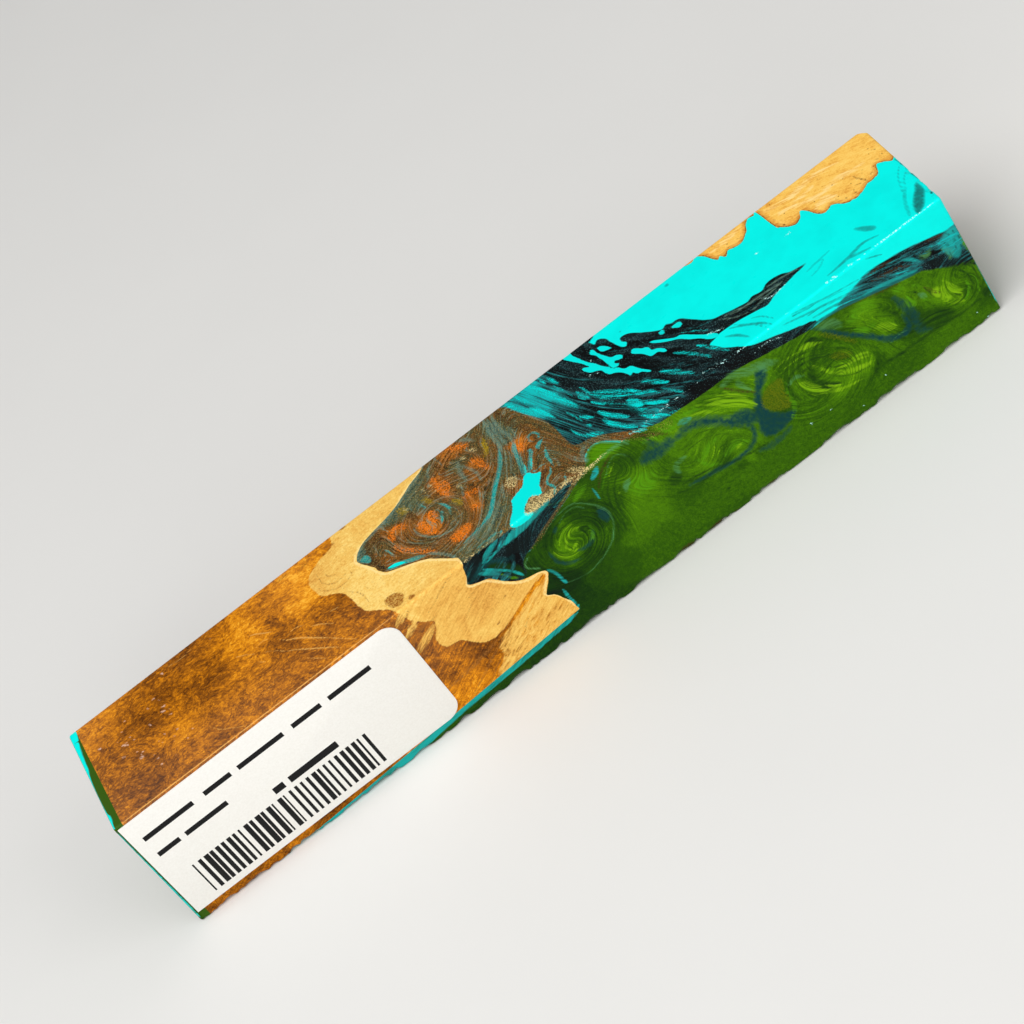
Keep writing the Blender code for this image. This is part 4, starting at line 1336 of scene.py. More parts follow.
MIST = Layer("mist", bleed=1.5, streaks=(
    ("-20.3,7.2 -19.8,6.2 -18.6,5.4 -16.6,4.9 -14.2,4.2 -12.4,3.4 -10.8,2.3 -8.8,1.5 -7,0.5",
     0.3, 0.3, 0.75, 0.08),
    ("-12.9,14.8 -11.8,16.2 -10.8,17.8 -10.3,19.2", 0.2, 0.2, 0.8, 0.1),
    ("-17.9,7 -17.8,8.2 -17.8,9.6", 0.06, 0.14, 0.6),
    ("-14.4,8.3 -14.55,9.2 -14.2,10.5 -13.2,12 -12.2,13.2", 0.07, 0.1, 0.85, 0.15),
    ("-12.35,9.1 -12.5,9.9 -12.2,11.2 -11.4,12.6 -10.2,13.7 -8.8,14.1 -7.6,13.9", 0.14, 0.14, 0.9, 0.1),
    ("-9,13.15 -8,13 -6.9,12.8 -6.2,12.8", 0.07, 0.12, 0.8),
    ("-7.9,13.8 -7.2,13.5", 0.14, 0.14, 0.8),
    ("-9.5,4.4 -10.1,5.3 -10.2,6.6 -9.9,7.8", 0.06, 0.14, 0.6),
    ("-10.9,4.6 -11.3,5.8 -11.1,7.4", 0.05, 0.14, 0.55),
    ("-9.2,5 -8.6,5.6 -8.4,6.4", 0.05, 0.14, 0.5),
    ("-5.8,0.5 -6.7,1.6 -7.2,2.8 -7.7,3.5", 0.16, 0.2, 0.8),
    ("-5.2,0.4 -5,1.4 -4.9,2.6", 0.08, 0.16, 0.6),
    ("-3.1,4 -3.6,5.6 -3.6,8", 0.26, 0.35, 0.7),
    ("-3,5 -2.4,6.6 -2,8.2 -2.1,10", 0.18, 0.25, 0.75),
    ("-1.6,0.4 -0.6,1.2 0.2,2.6", 0.22, 0.35, 0.6),
    ("-4.8,7.8 -4.6,8.8 -5,9.8 -5.2,11.6", 0.1, 0.2, 0.6),
    ("2.75,0.3 2.45,2.4 2.35,4.6 2.3,6.4 1.9,7.8", 0.26, 0.2, 0.85, 0.08),
    ("3.2,0.3 3.05,3 3,5.6 3.1,7.6", 0.1, 0.12, 0.8, 0.08),
    ("3.8,0.3 3.65,2.6 3.7,4.4 4.05,6.2 3.9,7.8", 0.2, 0.2, 0.85, 0.08),
    ("4.6,4.4 4.75,6 4.5,7.6", 0.13, 0.2, 0.6),
    ("1.3,12.4 2,11 2.6,9.2 2.9,7.6", 0.1, 0.14, 0.85),
    ("0.6,12.3 1.3,10.9 2.1,9 2.4,7.6", 0.05, 0.1, 0.7),
    ("0.8,7.6 0,9 -1.2,10.6 -2.6,12.2 -4.2,14.2", 0.06, 0.12, 0.6),
    ("-2.5,11.4 -3.4,12.8 -4.3,13.9", 0.05, 0.12, 0.55),
    ("-9.6,18.4 -7.6,17.9 -5.6,17.2 -4,16.4 -2.6,15", 0.3, 0.35, 0.7),
    ("-8.6,19.6 -6,18.8 -4.2,17.8 -2.6,16 -1.4,14.2 -0.4,13", 0.16, 0.2, 0.7),
    ("-6,20.2 -4.2,19.2 -2.6,17.6 -1.6,16.4", 0.1, 0.18, 0.6),
    ("-1.4,15.8 -0.9,14.4 -0.4,13.2", 0.12, 0.2, 0.7),
    ("1.6,12.6 1.4,13.6 1.8,14.6", 0.12, 0.2, 0.6),
    ("8.6,17 8.5,18.4", 0.08, 0.14, 0.7),
    ("6.7,15.8 6.5,17", 0.14, 0.18, 0.6),
    ("6.6,13 7.2,14.2 7.6,15.6", 0.06, 0.14, 0.5),
    ("9.3,19.6 9.6,17.6 10.6,16.8", 0.2, 0.35, 0.6),
    ("6.3,19.2 5.8,20.4 4.4,21.2", 0.1, 0.2, 0.5),
    ("34,13.4 36.5,14.2 39,14.5 41.4,14.6", 0.16, 0.3, 0.55),
    ("37,15.7 39.4,15.2 42,14.8", 0.1, 0.25, 0.5),
    ("40,13.8 42.4,14.1 44.4,14.6", 0.07, 0.2, 0.5),
    ("33,13 34.6,14.6 36.4,15.6", 0.08, 0.2, 0.5),
))

TEAL = Layer("teal", bleed=1.2, patches=(
    ("-53,41.8 -50,40.2 -40,39.6 -30,38.8 -21,39 -21,39.7 -25,40.2 -28,40.7 -30,41.8", 0.12),
    ("-20.3,8 -19.9,7.8 -19.3,7.7 -18.9,8.5 -19.2,9.5 -19.8,9", 0.16, 0.9),
    ("7.1,10.7 6.5,11.2 5.9,12 5.7,11.6 5.7,11 6.5,10.6", 0.12, 1.0),
    ("-4.8,22.3 -3.2,21.3 -2,20.7 0.6,20.9 2.8,20.7 2.4,21.4 0,21.9 -2,22.3", 0.2, 0.9),
    ("8.5,22.2 9.2,21.5 10,21.2 9.9,21.9 9.2,22.5 8.6,22.6", 0.18, 0.9),
    ("60.2,26.6 61,25.6 62.2,25.3 62.9,25.6 62.7,27.4 62.2,28.8 61.4,29.8 60.6,28.6", 0.5, 0.75),
), streaks=(
    ("-61.6,40.6 -40,40 -20,39.3 -10,38.7 -2.6,38.1", 0.42, 0.1, 1.0, 0.02),
    ("-16.95,9.1 -16.6,10.3 -16.45,11.6", 0.13, 0.14, 0.75),
    ("-18.2,12.5 -16.4,13.2 -14.8,14 -13.2,14.9", 0.34, 0.2, 0.85, 0.2),
    ("-8.7,9.1 -8.55,10.2 -8.8,11.2 -9.4,11.9", 0.22, 0.12, 0.95, 0.3),
    ("-8.15,8.2 -7.6,9.3 -7.4,10.4 -7.7,11.7", 0.2, 0.12, 0.95, 0.3),
    ("-10,6.3 -9.7,7.5", 0.1, 0.12, 0.7),
    ("-5.9,17 -4.2,16.4 -3.1,15.3 -2.1,13.8 -1.2,12.5 -0.2,11.3 0.8,9.8 1.4,8.5 1.9,7",
     0.3, 0.18, 0.95, 0.12),
    ("-8.8,17.7 -7,17.3 -5,16.8", 0.14, 0.2, 0.7),
    ("3.9,7.6 3.4,9.2 3.1,11 2.7,13 2.3,14.5", 0.34, 0.16, 0.95, 0.12),
    ("4.6,10.6 4.9,11.2 4.3,12.2 3.8,13.2 3,14.5", 0.3, 0.14, 0.95, 0.15),
    ("3.4,14.3 3.8,14.9 4.6,14.7 5.3,14.9", 0.12, 0.12, 0.9),
    ("5.5,15.9 5.2,16.9 4.5,17.4 4,18.2 4.2,19 4.4,19.6 4.1,20.3 3.7,20.8", 0.16, 0.1, 1.0, 0.1),
    ("6.3,8.2 5.75,8.8 5.6,9.5 5.9,10", 0.17, 0.12, 0.9, 0.2),
    ("6.3,8.2 6.8,8.8 6.9,9.6 6.6,10.2", 0.17, 0.12, 0.9, 0.2),
    ("6.7,12.2 6.3,13 6.1,14 6,15.2 6,16.6", 0.24, 0.12, 0.95, 0.4),
    ("6.4,18.7 6.1,19.5 5.9,20.1", 0.12, 0.12, 0.85),
    ("-7.6,20 -5.4,19.8 -4,20.2", 0.2, 0.25, 0.5),
    ("-8.2,22.5 -6.8,21.6 -5.2,20.9", 0.36, 0.25, 0.85),
    ("-8.6,22.9 -6.4,22.4 -4.4,21.9 -3.4,21.2", 0.16, 0.16, 0.8),
    ("-8.7,23.2 -7.4,24.6 -6,26.2 -5.1,27.9", 0.14, 0.2, 0.75, 0.15),
    ("-9.4,23.4 -8.2,24.4 -7.4,25.4", 0.3, 0.3, 0.55),
    ("-2.5,29.4 -1.8,30.8 -1.6,32.4 -1.4,33.2", 0.16, 0.2, 0.85, 0.1),
    ("-2.3,33.5 -2.3,35 -2.15,36.6 -2.1,37.4 -2.6,38", 0.2, 0.16, 0.9, 0.1),
    ("7.9,23.5 8,24.6 7.9,25.8", 0.14, 0.16, 0.8),
    ("48,25.4 51,25.8 54,26.8 56.2,27.4", 0.22, 0.25, 0.7, 0.1),
    ("55,24.6 56,25.4 57,26.8", 0.2, 0.25, 0.6),
    ("22.6,24.2 21.2,23.8", 0.4, 0.5, 0.4),
    ("29.6,15 30.6,17.4 31.6,19", 0.05, 0.12, 0.5),
))

SPRAY = Layer("spray", bleed=1.6, patches=(
    ("17.9,14.9 18.4,14.8 18.9,15.6 19.2,16.6 18.9,17.4 18.4,16.8 18,15.8", 0.25),
), streaks=(
    ("9.5,-0.5 10.2,1.6 11,4 11.8,6.4 12.5,8.6 12.9,9.9", 0.42, 0.35, 0.95, 0.3),
    ("9.9,0 10.8,2.4 11.6,4.8 12.3,7.4", 0.16, 0.2),
    ("8.3,4.3 8.8,5.7 9.4,7.2 9.8,8.8", 0.36, 0.25),
    ("6.1,0.2 6.8,2.2 7.6,4.2 8.4,6.4", 0.3, 0.3, 0.9),
    ("7.6,0.2 8.2,2 9,4.2", 0.2, 0.25, 0.8),
    ("12.3,1.2 12.6,2.4 12.95,3.7", 0.22, 0.16),
    ("11.5,0.9 11.7,2.1", 0.14, 0.14, 0.9),
    ("12.2,3.4 12.9,5.6 13.3,7.4", 0.1, 0.14, 0.8),
    ("13.9,7.4 14.2,8.8 14.7,9.9", 0.3, 0.2),
    ("14.7,7 15,8.4 15.3,9.9", 0.14, 0.14, 0.9),
    ("12.4,11.5 12.8,12.5 13.6,13.5", 0.22, 0.16),
    ("12.3,13.6 12.6,14.7", 0.22, 0.16, 0.9),
    ("11.4,9.4 11.8,11 12.2,12.8", 0.08, 0.12, 0.8),
    ("14.6,10.8 15.4,12.2 16.6,13.4", 0.14, 0.25, 0.6),
    ("14.4,13.2 15.2,15 16,16.4 16.8,17.6", 0.26, 0.25, 0.85),
    ("14.3,15 14.8,16.8 15.8,18.6 16.8,20", 0.24, 0.3, 0.8),
    ("11.2,15.2 12.2,16.1 13.2,17.1", 0.26, 0.3, 0.7),
    ("10.4,12.6 10.8,14.4 11.8,15.8", 0.1, 0.2, 0.6),
    ("15.4,9.6 16.4,11.2 17.6,12.6 18.8,14.2", 0.5, 0.5, 0.55),
    ("16.2,13.6 17.4,15.6 18.4,17.8 19.4,19.4", 0.3, 0.4, 0.55),
    ("19.2,16.6 20.4,18.4 21.6,19.8", 0.24, 0.3, 0.6),
    ("23.6,14.4 25,16.4 26.2,18.6", 0.2, 0.4, 0.55),
    ("21,13.6 22,15 23.2,16.8", 0.2, 0.3, 0.6),
    ("26.4,13 27.8,15.2 29.2,17.8", 0.12, 0.3, 0.5),
    ("29,14.6 30.2,17 31.4,19.2", 0.14, 0.25, 0.7),
    ("28.6,10.6 30,12 31.2,13.4", 0.06, 0.16, 0.6),
    ("18.9,12.9 19.4,14.3 19.9,15.3 20.8,16.1 21.2,17 21.9,17.6", 0.26, 0.25, 0.95),
    ("18,18.4 18.7,19.9 19.6,20.8 20.9,21.6 22.2,22", 0.3, 0.2, 0.95),
    ("22.2,17 23,18.6 23.8,20.1", 0.12, 0.2, 0.7),
    ("15.6,20.2 16.6,20.8 17.6,21.4", 0.16, 0.2, 0.7),
))

AQUA = Layer("aqua", patches=(
    ("2.2,14.4 3,14.3 3.5,15.2 4.2,15.6 3.7,16.6 3.1,17.6 2.9,18.4 2.6,19.2 1.8,18.7 1.2,18.3 0.6,18.8 "
     "0,19.3 -0.3,20.2 0.4,20.8 0,21.3 -2,21.3 -2.8,20.6 -2.4,19.6 -1.6,18.6 -1,17.4 -0.8,16.7 "
     "0.2,16.2 1.4,15.7", 0.1),
    ("15.4,0 16.6,0 16.65,1 17.1,2.6 17.6,4.1 18.1,5 18.5,6.2 19,7.2 19.4,8.1 19.9,8.5 20.4,9.5 "
     "21.2,9.8 21.6,10.7 22,11.7 22.7,12.9 22.4,13 21.8,12.1 21.2,11.8 20.8,11 20.5,11.5 20.1,10.3 "
     "19.8,9.7 19.2,9 18.6,8.6 18.3,7.9 18.1,6.9 17.6,6.4 16.9,5.9 16.4,4.8 16.6,4.3 17.3,4.9 17,3.8 "
     "16.6,2.8 16.1,1.8", 0.1),
    ("18.4,3 18.6,2.5 19,2.4 19.25,3.8 19.7,5 20.1,6 20.8,6.3 21.3,6.9 21.2,7.5 20.6,7.3 20.1,7 20,7.5 "
     "20.4,8 20,8.2 19.5,8 19.3,7.3 19.2,6 19,4.8 18.8,3.7", 0.1),
    ("19.6,2.8 20.1,2.9 20.6,3.6 20.9,4.5 20.3,4.3 19.9,4.1 19.65,3.6", 0.1),
    ("22.4,7.9 22.8,7.3 23.3,7.8 23.7,8.4 24.3,8.8 24.5,9.8 25.2,10.3 25.8,11.2 25.8,11.8 25.4,11.6 "
     "24.9,10.9 24,10.8 23.7,10.2 23.3,9.3 22.8,8.6", 0.1),
    ("25,8.4 25.4,8.5 26.1,9.2 26.9,10 27.7,10.7 28.3,10.9 28.8,11.4 29.6,12.5 30.5,13.7 31.5,14.6 "
     "31.8,15.3 31.6,15.7 30.7,15.2 29.8,13.8 28.8,12.7 27.9,11.4 26.9,10.6 25.9,9.7 25.2,8.9", 0.1),
    ("28.2,8.7 28.8,8.5 29.5,8.7 29.5,9.3 29,9.6 28.5,9.1", 0.1),
    ("26.5,8.2 26.8,7.8 27.2,8 27.3,8.4 26.9,8.8", 0.1, 0.9),
), streaks=(
    ("-17.9,12.5 -16.8,12.9 -15.7,13.6", 0.32, 0.12, 1.0),
    ("2.5,14.8 2.9,13.6 3.3,12.4", 0.14, 0.14, 0.7),
    ("3.5,14.4 4,13.2 4.4,12.2", 0.14, 0.14, 0.7),
    ("-63.3,-0.5 -63.2,1.4", 0.5, 0.2),
    ("-63.35,20.2 -63.35,30 -63.3,40.2", 0.12, 0.12, 0.62, 0.02),
    ("-66,0.2 -64,1.4", 0.8, 0.4),
    ("63.2,23.4 63.15,28 63.1,34 63,40", 0.18, 0.14, 1.0, 0.05),
))

INK = Layer("ink", bleed=1.4, patches=(
    ("-10.9,23.4 -10.6,21.6 -10,20.3 -8.2,20.5 -8.2,21.6 -9.4,22.8", 0.3, 0.75),
    ("-5.8,23.4 -3.6,22.9 -1.2,23.1 -1.2,23.8 -2.7,24.6 -2.5,25.3 -3.5,25.1 -4.2,24.2", 0.25, 0.85),
), streaks=(
    ("-18.8,10.8 -18.4,11.8 -17.9,12.4", 0.2, 0.2, 0.8),
    ("-1.3,19.1 -0.5,18.3 0.2,17.8", 0.05, 0.07, 0.8),
    ("6.25,8.7 6.3,9.6 6.3,10.4", 0.1, 0.18, 0.7),
    ("10.2,5 10.9,7.2 11.2,9.4 11.2,12", 0.1, 0.14, 0.75),
    ("11.1,1.8 11.6,3.4 12.3,4.8", 0.12, 0.14, 0.75),
    ("9,0.4 9.7,3 10.6,5.8 11.2,8.2", 0.09, 0.18, 0.7),
    ("7.2,0.4 8,2.8 8.9,4.8", 0.08, 0.17, 0.6),
    ("9.3,5.6 10,8.4 10.2,11.6 10.4,15", 0.08, 0.2, 0.6),
    ("12,5.4 12.8,8 13.3,10.2", 0.08, 0.17, 0.6),
    ("11.5,9.8 11.7,12 12.2,13.4 13.2,14 14.2,13.6", 0.16, 0.14, 0.85, 0.2),
    ("13.4,14 13.5,16 14.1,18.2", 0.25, 0.3, 0.7),
    ("15.4,13 16.6,14.6 17.6,16.8 18.2,18.4", 0.45, 0.35, 0.8),
    ("15,15 15.8,17.2 16.8,18.8", 0.08, 0.17, 0.7),
    ("18,9 18.9,9.5 19.6,10.9 20.4,12.4", 0.35, 0.25, 0.8),
    ("-5.6,21.8 -4.4,21.2 -3.6,20.8", 0.12, 0.14, 0.8),
    ("-2,22.9 1,22.4 3.8,21.6 6,20.9", 0.28, 0.25, 0.8),
    ("-2.6,22.6 0.6,22 3.4,21", 0.06, 0.12, 0.7),
    ("-1,23.8 1.8,23 5.4,21.6", 0.1, 0.16, 0.7),
    ("-4,32.6 -3.4,33 -2.6,33.8", 0.3, 0.3, 0.7),
    ("57.4,26.8 58.6,28.2 60,29.8 61.6,30.8 62.8,32.2", 0.42, 0.4, 0.8, 0.3),
    ("56.6,24.6 57,25.8 57.8,27", 0.12, 0.2, 0.6),
    ("50,23.4 51.6,23.1 53.8,23.4", 0.06, 0.12, 0.7),
    ("54,24.2 56.6,24.2 59.2,24.9", 0.06, 0.12, 0.6),
    ("48.2,24.2 49.8,24.8 51.6,25", 0.08, 0.17, 0.5),
    ("45,24.1 47.4,24.6 49.4,25.3", 0.08, 0.17, 0.5),
    ("60.2,25.8 60.9,27.2 60.6,29.2", 0.07, 0.2, 0.7),
    ("61.4,25.4 61.9,27 61.5,29", 0.05, 0.2, 0.6),
    ("62.3,25.8 62.6,27.2 62.3,28.8", 0.06, 0.2, 0.6),
    ("63,9 63.2,11.4 63,13.6 63.2,15.8 62.9,18 62.4,19.8", 0.09, 0.18, 0.85, 0.05),
    ("23,2.9 23.3,3.1", 0.12, 0.15, 0.6),
    ("40,21.2 42.4,21.8 45.2,22.4 48.2,23.2", 0.05, 0.2, 0.3),
    ("41.6,22.6 44.2,23.1 47.4,23.9", 0.06, 0.25, 0.35),
    ("51.2,21 52.4,21.6 53.2,22", 0.05, 0.14, 0.3),
))

VEIL = Layer("veil", bleed=1.3, patches=(
    ("62.4,15.3 61.6,16.4 60.6,17.6 59.8,19.2 59.7,20.3 60.8,19.9 61.9,18.3 62.5,17", 0.35, 0.85),
    ("53,15.2 54,16 54.9,17.2 54.6,17.6 53.7,16.8", 0.4, 0.6),
), streaks=(
    ("46.4,19.3 48.6,19.1 50.4,18.8 52.4,18.4 54.4,19", 0.2, 0.3, 0.6),
    ("49,18.9 51,19.5 52.6,20", 0.14, 0.3, 0.5),
    ("45,16.2 46.6,15.9 48.9,15.6", 0.12, 0.3, 0.35),
    ("45,17.5 46.6,17 47.6,16.2", 0.1, 0.3, 0.3),
    ("62.8,10.6 61.6,12.2 60.4,15.2", 0.05, 0.3, 0.4),
    ("62.6,12.4 61.8,13.4 61.2,14.8", 0.05, 0.3, 0.4),
    ("61,15 59.8,16.8 58.8,19.6", 0.08, 0.5, 0.4),
    ("33.2,15.8 34.8,17 36.6,18.8 37.4,20.2", 0.14, 0.25, 0.7),
    ("34,15.8 35.6,17.8 36.6,20", 0.08, 0.2, 0.6),
    ("32.2,16.6 33.4,17.8 34.4,19.6", 0.16, 0.3, 0.6),
    ("36,16.8 37.2,17.8 38.2,19.8", 0.08, 0.2, 0.6),
    ("31.4,1 31.6,1.3", 0.2, 0.3, 0.6),
    ("40,20.9 42.4,21.5 45.2,22.2 49.2,22.9", 0.07, 0.25, 0.6),
    ("38.4,21.4 41.6,22.3 44.2,22.9 47.4,23.7", 0.1, 0.25, 0.65),
    ("42,23.4 44.6,23.8 47,24.4", 0.12, 0.25, 0.7),
    ("51.2,21 52.4,21.6 53.2,22", 0.07, 0.16, 0.55),
    ("40.6,24.2 43.6,24.5 46.4,25 50,26 53.8,27.1 56.4,27.8", 0.2, 0.2, 0.9, 0.1),
))

# Pale beige specks in the resin, and a painted highlight: the specks and short streaks that lie along
# the ridge between top and front.
PALE = Layer("pale", bleed=1.6, patches=(
    ("-0.1,13.6 0.4,12.9 1.2,13.2 1.1,14.3 0.3,14.6", 0.4, 0.72),
    ("-0.3,20.3 0.5,19.1 1.4,18.5 2,18.9 2.8,19.6 3.9,19.7 3.8,20.7 0.2,20.8", 0.3, 0.85),
), streaks=(
    ("5,20.4 6,20.2 6.8,20.4", 0.3, 0.3, 0.75),
    ("-9.8,20.5 -8.6,20.4", 0.14, 0.3, 0.5),
    ("-0.9,3.5 -0.4,4.2", 0.14, 0.3, 0.7),
    ("-2.4,3.8 -2.1,4.2", 0.14, 0.25, 0.6),
    ("-12,5 -11.7,5.4", 0.08, 0.2, 0.6),
    ("-4.9,7.9 -4.5,8.3", 0.12, 0.3, 0.6),
    ("6.4,21.1 8.6,20.8 11.4,20.4", 0.12, 0.3, 0.5),
    ("7,18.6 7.8,19.8 8.4,20.4", 0.3, 0.4, 0.35),
), chips=(
    ((-9.8, 17.4), (-7.6, 18.6), 10, 0.12, 0.6),
    ((-10.2, 2.8), (-7.4, 5.6), 16, 0.12, 0.9),
    ((-17.6, 11.0), (-15.0, 12.6), 9, 0.1, 0.5),
    # Painted highlight along the ridge between top and front.
    ((-9.8, 20.5), (15.0, 20.4), 60, 0.1, 0.12),
))

# Painted highlights: white glints on the faces, a thin line of light along the ridge between top and
# front, and another down the right end's edge. The specks strewn along the ridge are partly white chips
# of the edge and partly painted highlight.
GLINT = Layer("glint", bleed=1.2, streaks=(
    ("16.5,6.5 16.8,6.3", 0.09, 0.1),
    ("17.4,6.9 17.8,6.9", 0.09, 0.1),
    ("17.9,3.8 18,4.2", 0.08, 0.17, 0.8),
    ("42.4,7.1 42.6,7.4", 0.12, 0.12),
    ("46.3,8.1 47,7.9 47.5,7.8", 0.08, 0.1, 0.8),
    ("30.8,14.1 31.6,14.5 32.8,15.1", 0.08, 0.17, 0.5),
    ("38.7,14.9 39.2,15.6 40.2,15.9 42,15.6", 0.07, 0.17, 0.4),
    ("33.6,22.2 35.6,22 37.6,22.8", 0.03, 0.1, 0.4),
    ("34.9,36.7 35,36.9", 0.1, 0.14, 0.7),
    ("37.9,37 38.1,37", 0.07, 0.12, 0.6),
    ("41.5,39.7 41.7,39.8", 0.07, 0.12, 0.5),
    ("46,37.9 46.2,38", 0.07, 0.12, 0.5),
    ("60,38.9 60.3,38.9", 0.08, 0.12, 0.5),
    ("62.4,38 62.7,38", 0.08, 0.12, 0.5),
    ("61,40.6 61.3,40.7", 0.1, 0.12, 0.8),
    # Painted highlight down the right end's edge.
    ("63.35,12 63.3,15 63.4,18 63.4,24 63.4,33", 0.08, 0.12, 0.7, 0.05),
    # Painted highlight along the ridge.
    ("53,20.3 58.4,20.35 62.8,20.5", 0.03, 0.14, 0.5, 0.05),
), chips=(
    ((14.6, 20.4), (21.0, 20.4), 16, 0.09, 0.12),
    ((20.8, 20.3), (24.8, 20.4), 12, 0.09, 0.14),
    ((25.0, 20.45), (33.4, 20.45), 22, 0.09, 0.1),
    ((26.8, 19.5), (30.2, 20.3), 18, 0.11, 0.25),
    ((31.6, 20.2), (32.4, 20.4), 6, 0.16, 0.25),
    ((34.0, 20.4), (53.0, 20.4), 18, 0.07, 0.15),
    ((45.4, 20.2), (46.8, 20.3), 7, 0.16, 0.2),
    ((49.0, 20.1), (50.6, 20.4), 8, 0.14, 0.2),
))

RESIN_LAYERS = (
    COPPER_ZONE, GREEN_ZONE, CAP_GREEN, STREAK_ZONE, NAVY, FOREST, LEAF, LIME, SAGE, BROWN, RUST, GOLD,
    OLIVE, MIST, TEAL, SPRAY, INK, AQUA, VEIL, PALE, GLINT,
)
RESIN_TONES = (DARKNESS, WARMTH, LIGHT, STIR)


# Where the colours lie in the wood

SAPWOOD = Layer("sapwood", patches=(
    ("-21,-3 -21.6,0 -22.2,2 -24,2.6 -26.4,4 -27.2,6 -26.6,8.8 -25.4,9.8 -24.4,10.8 -23.8,12.4 "
     "-23.5,14.8 -23,16.6 -21.8,17.8 -20.6,19.2 -20,20.6 -19.4,22.6 -18.2,24.2 -17.2,25 -17.6,26.2 "
     "-18.3,27.2 -18.4,28.6 -17.9,29.6 -16.2,30 -15.4,31 -14.6,32.1 -13.6,32.9 -12.2,33.1 -10.6,32.7 "
     "-8,31.5 -6,30.6 -3.4,29.7 4,28.6 4,-3", 0.2),
    ("-24,3 -17,3 -14,-4 -15,-11 -19,-15 -16,-22 4,-22 4,3", 0.6),
))

TAN_LOBE = Layer("tan_lobe", patches=(
    ("-12.4,34.4 -10,33.2 -6.4,31.6 -3,30.4 2,31 2,39 -14,39 -13,36.6", 0.7, 0.9),
), streaks=(
    ("-21.4,27.6 -19.4,26.6 -17.4,25.4", 0.4, 0.5, 0.75),
    ("-21.4,24.8 -19.6,23.6 -18,22.2", 0.4, 0.5, 0.75),
    ("-21.4,22.6 -20,21.4 -19,20.4", 0.4, 0.5, 0.75),
))

# The heartwood's own tone from place to place; its brightest golden zones are a painted sheen, the
# burl's chatoyance.
WOOD_TONE_AND_SHEEN = Tone("wood_tone_and_sheen", 2.0, (
    "-61.4,2,0.7 -59.6,3.6,0.58 -61,9,0.52 -60.5,16,0.44 -57.4,2,0.54 -56.6,7,0.38 -57.6,12,0.42 "
    "-56,17.6,0.36 -53.4,3,0.46 -53.2,7.4,0.3 -52.6,11,0.48 -50,12.6,0.78 -51,17.2,0.46 -49.6,3.4,0.44 "
    "-48.6,7,0.46 -46.6,15,0.48 -44.2,1.4,0.3 -45.6,4,0.36 -45.2,9.6,0.34 -42.8,13.6,0.56 -42.4,6,0.42 "
    "-41,18.4,0.5 -40.2,2.4,0.56 -38.2,5.4,1 -37.2,9,0.62 -38,13.4,0.6 -36.4,17.6,0.48 -35,2.6,0.58 "
    "-33.6,6.6,0.44 -33,11,0.38 -31.6,16,0.46 -30.6,3.6,0.7 -29,6.8,0.92 -29,11.6,0.54 -27.4,15.8,0.5 "
    "-27.6,2.6,0.84 -25.6,13.4,0.44 -24.6,18.6,0.48 -21.8,19.2,0.5 -20.4,23,0.44 -20.6,28,0.46 "
    "-20.6,33,0.46 -17.8,32,0.5 -15,33.4,0.26 -12.6,33.8,0.22 -18,34.6,0.4 -20.4,36.8,0.8 "
    "-17.6,37.4,0.66 -15.2,36.4,0.62 -12.6,36,0.62 -8,35.4,0.74 -4,35,0.8 -6,38,0.66 -24,1.4,0.62 "
    "-40,40,0.35 -56,40,0.4 -40,-6,0.45 -52,-12,0.4 -30,-12,0.5 -60,50,0.4"
))

# Painted sheen: how much grey light is added over the heartwood, strongest near the ridge between top
# and front and near the left end.
PAINTED_SHEEN = Tone("painted_sheen", 3.0, (
    "-61,2,0.8 -61,8,0.5 -60.5,13,0.6 -60.5,18,1 -55,2,0.2 -55,6,0 -55,12,0.4 -55,18,0.8 -50,6,0 "
    "-50,12,0.1 -50,18,0.8 -45,2,0.2 -45,6,0 -45,12,0.1 -45,18,0.8 -40,5,0 -40,12,0.2 -40,18,0.7 "
    "-35,5,0.2 -35,12,0.2 -35,18,0.6 -31,4,0.5 -30,12,0.2 -30,18,0.4 -26,19,0.4 -24,8,0.1 -20,23,0.6 "
    "-20,30,0.6 -18,34,0.3 -14,36,0 -20,37,0 -40,40,0 -56,40,0 -40,-8,0.2"
))

SAP_TONE = Tone("sap_tone", 1.8, (
    "-8,0.5,0.62 -12,2,0.7 -18,2,0.72 -21,6,0.8 -24.4,5,0.6 -24.8,8,0.66 -21.6,11,0.86 -20.6,14.4,0.9 "
    "-17.6,15.4,0.86 -14.4,17.4,0.8 -12,19.4,0.66 -17,22,0.66 -13.4,23,0.58 -11.4,25.6,0.5 "
    "-16.4,27,0.56 -8.4,28,0.5 -12.4,30.4,0.58 -4.6,29.4,0.6 -9.2,31.4,0.6 -3.2,29.4,0.66 -12,-8,0.7"
))

BROWN_SPOT = Layer("brown_spot", patches=(
    ("-20.5,17.1 -19,17.2 -18.2,18.4 -19,19.6 -20.2,19.1", 0.35, 0.85),
), streaks=(
    ("-23.2,1.3 -21.8,1.8", 0.5, 0.4, 0.8, 0.6),
    ("-20.2,0.2 -19.2,0.5", 0.3, 0.25, 0.9, 0.6),
    ("-17.7,19.6 -17.3,19.8", 0.5, 0.3, 0.95, 0.6),
    ("-27.4,2 -25.4,1.2", 0.3, 0.6, 0.5),
    ("-30.6,1 -28.6,0.9", 0.2, 0.5, 0.5),
    ("-22,8.4 -21.8,9", 0.12, 0.2, 0.6),
    ("-15.6,13 -15.4,13.2", 0.1, 0.2, 0.5),
))

